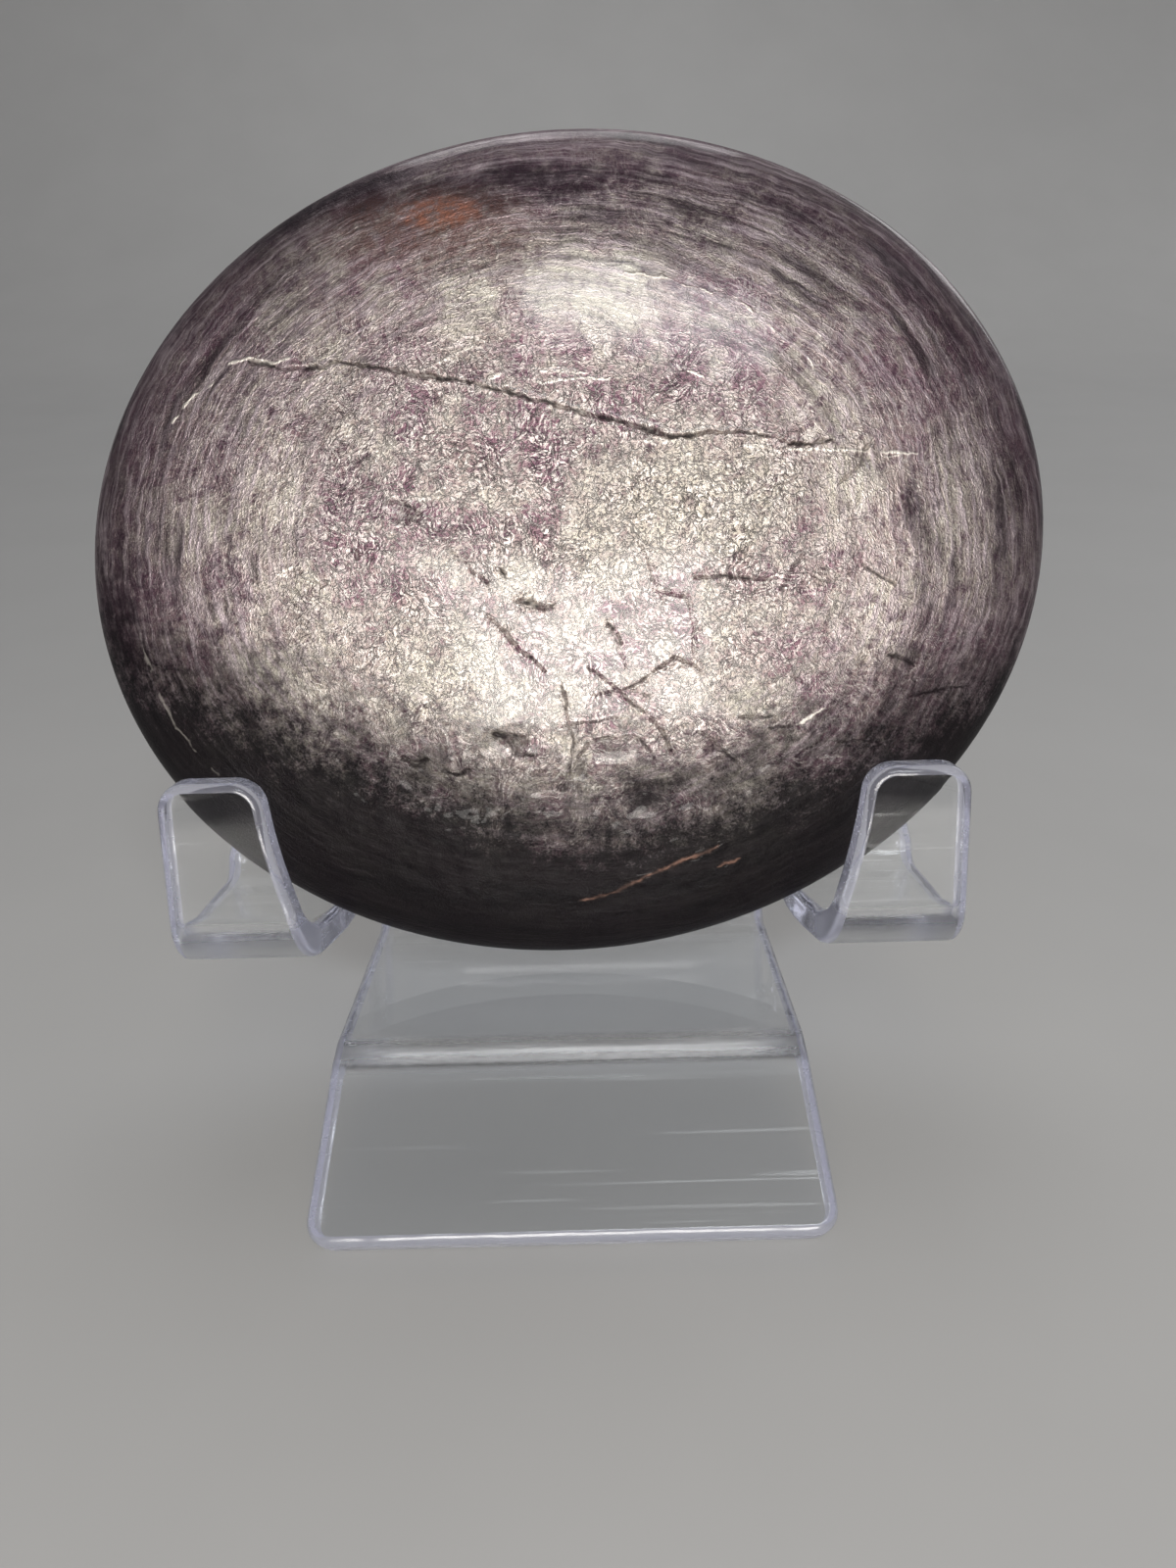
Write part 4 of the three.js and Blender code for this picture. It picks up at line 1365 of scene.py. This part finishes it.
# %% Hand the stone over
stone = finish_piece("lepidolite_freeform", bm, [lepidolite], "lepidolite_stone")
for face in stone.data.polygons:
    face.use_smooth = True
low, high, triangles = measured(stone)
print("stone, mm:", np.round(low / MM, 2), np.round(high / MM, 2), "with", triangles, "triangles")

# %% [markdown]
# ## A pale table
#
# A plain floor that curves up far behind shows the clear easel best, because its polished edges
# bend pale light and dark room alike. It is one strip of quads, swept up at the back.

# %% The floor
FLOOR_HALF = 1.6
FLAT_BEHIND = 0.6
FLOOR_BEND = 0.5
TABLE_TONES = (srgb(182, 181, 180), srgb(190, 189, 188))

bm = bmesh.new()
start_row = [bm.verts.new((side * FLOOR_HALF, -FLOOR_HALF, 0)) for side in (-1, 1)]
edge = bm.edges.new(start_row)
strip_end = row_of(bmesh.ops.extrude_edge_only(bm, edges=[edge])["geom"])
bmesh.ops.translate(bm, verts=verts_across(strip_end), vec=(0, FLOOR_HALF + FLAT_BEHIND, 0))
bmesh.ops.spin(
    bm, geom=strip_end, cent=(0, FLAT_BEHIND, FLOOR_BEND), axis=(1, 0, 0), dvec=(0, 0, 0),
    angle=math.pi / 2, steps=24, use_duplicate=False)
bmesh.ops.recalc_face_normals(bm, faces=bm.faces)
floor_mesh = bpy.data.meshes.new("pale_table")
bm.to_mesh(floor_mesh)
bm.free()
for face in floor_mesh.polygons:
    face.use_smooth = True
floor = bpy.data.objects.new("pale_table", floor_mesh)
bpy.context.scene.collection.objects.link(floor)
floor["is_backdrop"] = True

table_finish, tree, shader, _ = new_material("pale table")
table_tone = mixed(tree, noise_node(tree, millimetres(tree), 0.02), *TABLE_TONES)
tree.links.new(table_tone, shader.inputs["Base Color"])
shader.inputs["Roughness"].default_value = 0.55
floor_mesh.materials.append(table_finish)
print("the floor has", len(floor_mesh.polygons), "faces")

# %% [markdown]
# ## Light
#
# Mica shows its sheen where it mirrors a lamp toward the eye. A soft lamp close behind the camera
# lights the lower middle, and a broad box high in front leaves the second, upper glow with its
# sharp top edge. Two lamps behind light the back and draw the easel's edges. The room itself is a
# dim grey. Clear acrylic needs many bounces, or its folds turn black.

# %% Lamps and room
def soft_lamp(name, place, aim, size, power, colour=(1, 1, 1)):
    lamp = bpy.data.lights.new(name, "AREA")
    lamp.shape = "RECTANGLE"
    lamp.size, lamp.size_y = size
    lamp.energy = power
    lamp.color = colour
    holder = bpy.data.objects.new(name, lamp)
    holder.matrix_world = Matrix.Translation(place) @ (
        Vector(place) - Vector(aim)).to_track_quat("Z", "Y").to_matrix().to_4x4()
    bpy.context.scene.collection.objects.link(holder)
    return holder


GLOW_BELOW_MIDDLE = Vector((0, -10, -10)) * MM
ROOM_GREY = (0.09, 0.09, 0.095, 1)
WARM, COOL = (1.0, 0.97, 0.92), (0.94, 0.98, 1.0)

stone_aim = stone_middle + GLOW_BELOW_MIDDLE
soft_lamp("key by the camera", (0.0, -0.55, 0.17), stone_aim, (0.30, 0.22), 3.4, WARM)
soft_lamp("box high in front", (0.264, -1.364, 1.795), stone_aim, (0.85, 0.42), 10.0, COOL)
soft_lamp("lamp high behind", (0.0, 0.9, 1.2), (0, 0, 0), (0.9, 0.6), 4.0)
soft_lamp("fill for the back", (1.0, 1.2, 0.6), stone_aim, (0.7, 0.7), 4.0)
room = bpy.data.worlds.new("dim grey room")
bpy.context.scene.world = room
room.use_nodes = True
room.node_tree.nodes["Background"].inputs["Color"].default_value = ROOM_GREY
tracing = bpy.context.scene.cycles
tracing.max_bounces = 24
tracing.transmission_bounces = 24
tracing.glossy_bounces = 16
tracing.caustics_refractive = False
bpy.context.scene.view_settings.view_transform = "Standard"
print("lamps:", [item.name for item in bpy.data.lights])

# %% [markdown]
# ## Camera
#
# The camera looks down on the stone from close by, a little above its top.

# %% The camera
LENS = 27
CAMERA_X = 1.75 * MM
CAMERA_BEFORE_LIPS = 123.7 * MM
CAMERA_HEIGHT = 105.2 * MM
CAMERA_TILT = math.radians(63.5)
CAMERA_ROLL = -0.0255

camera = bpy.data.objects.new("camera", bpy.data.cameras.new("camera"))
camera.data.lens = LENS
camera.data.clip_start = 0.01
camera.matrix_world = (
    Matrix.Translation((CAMERA_X, lip_base.y - CAMERA_BEFORE_LIPS, CAMERA_HEIGHT))
    @ Matrix.Rotation(CAMERA_TILT, 4, "X") @ Matrix.Rotation(CAMERA_ROLL, 4, "Z"))
bpy.context.scene.collection.objects.link(camera)
bpy.context.scene.camera = camera
print("camera to the stone's middle, mm:",
      round((camera.matrix_world.translation - stone_middle).length / MM))

# %% [markdown]
# ## Measure the size again
#
# The box is measured again, now round the finished pieces, which have to stay inside the box of
# the fixed model. Both boxes are printed.

# %% Print the sizes
model_box_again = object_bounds()
for title, box in (("model", model_box), ("finished pieces", model_box_again)):
    print(title, "reach from", *[[round(side / MM, 2) for side in corner] for corner in box], "mm")
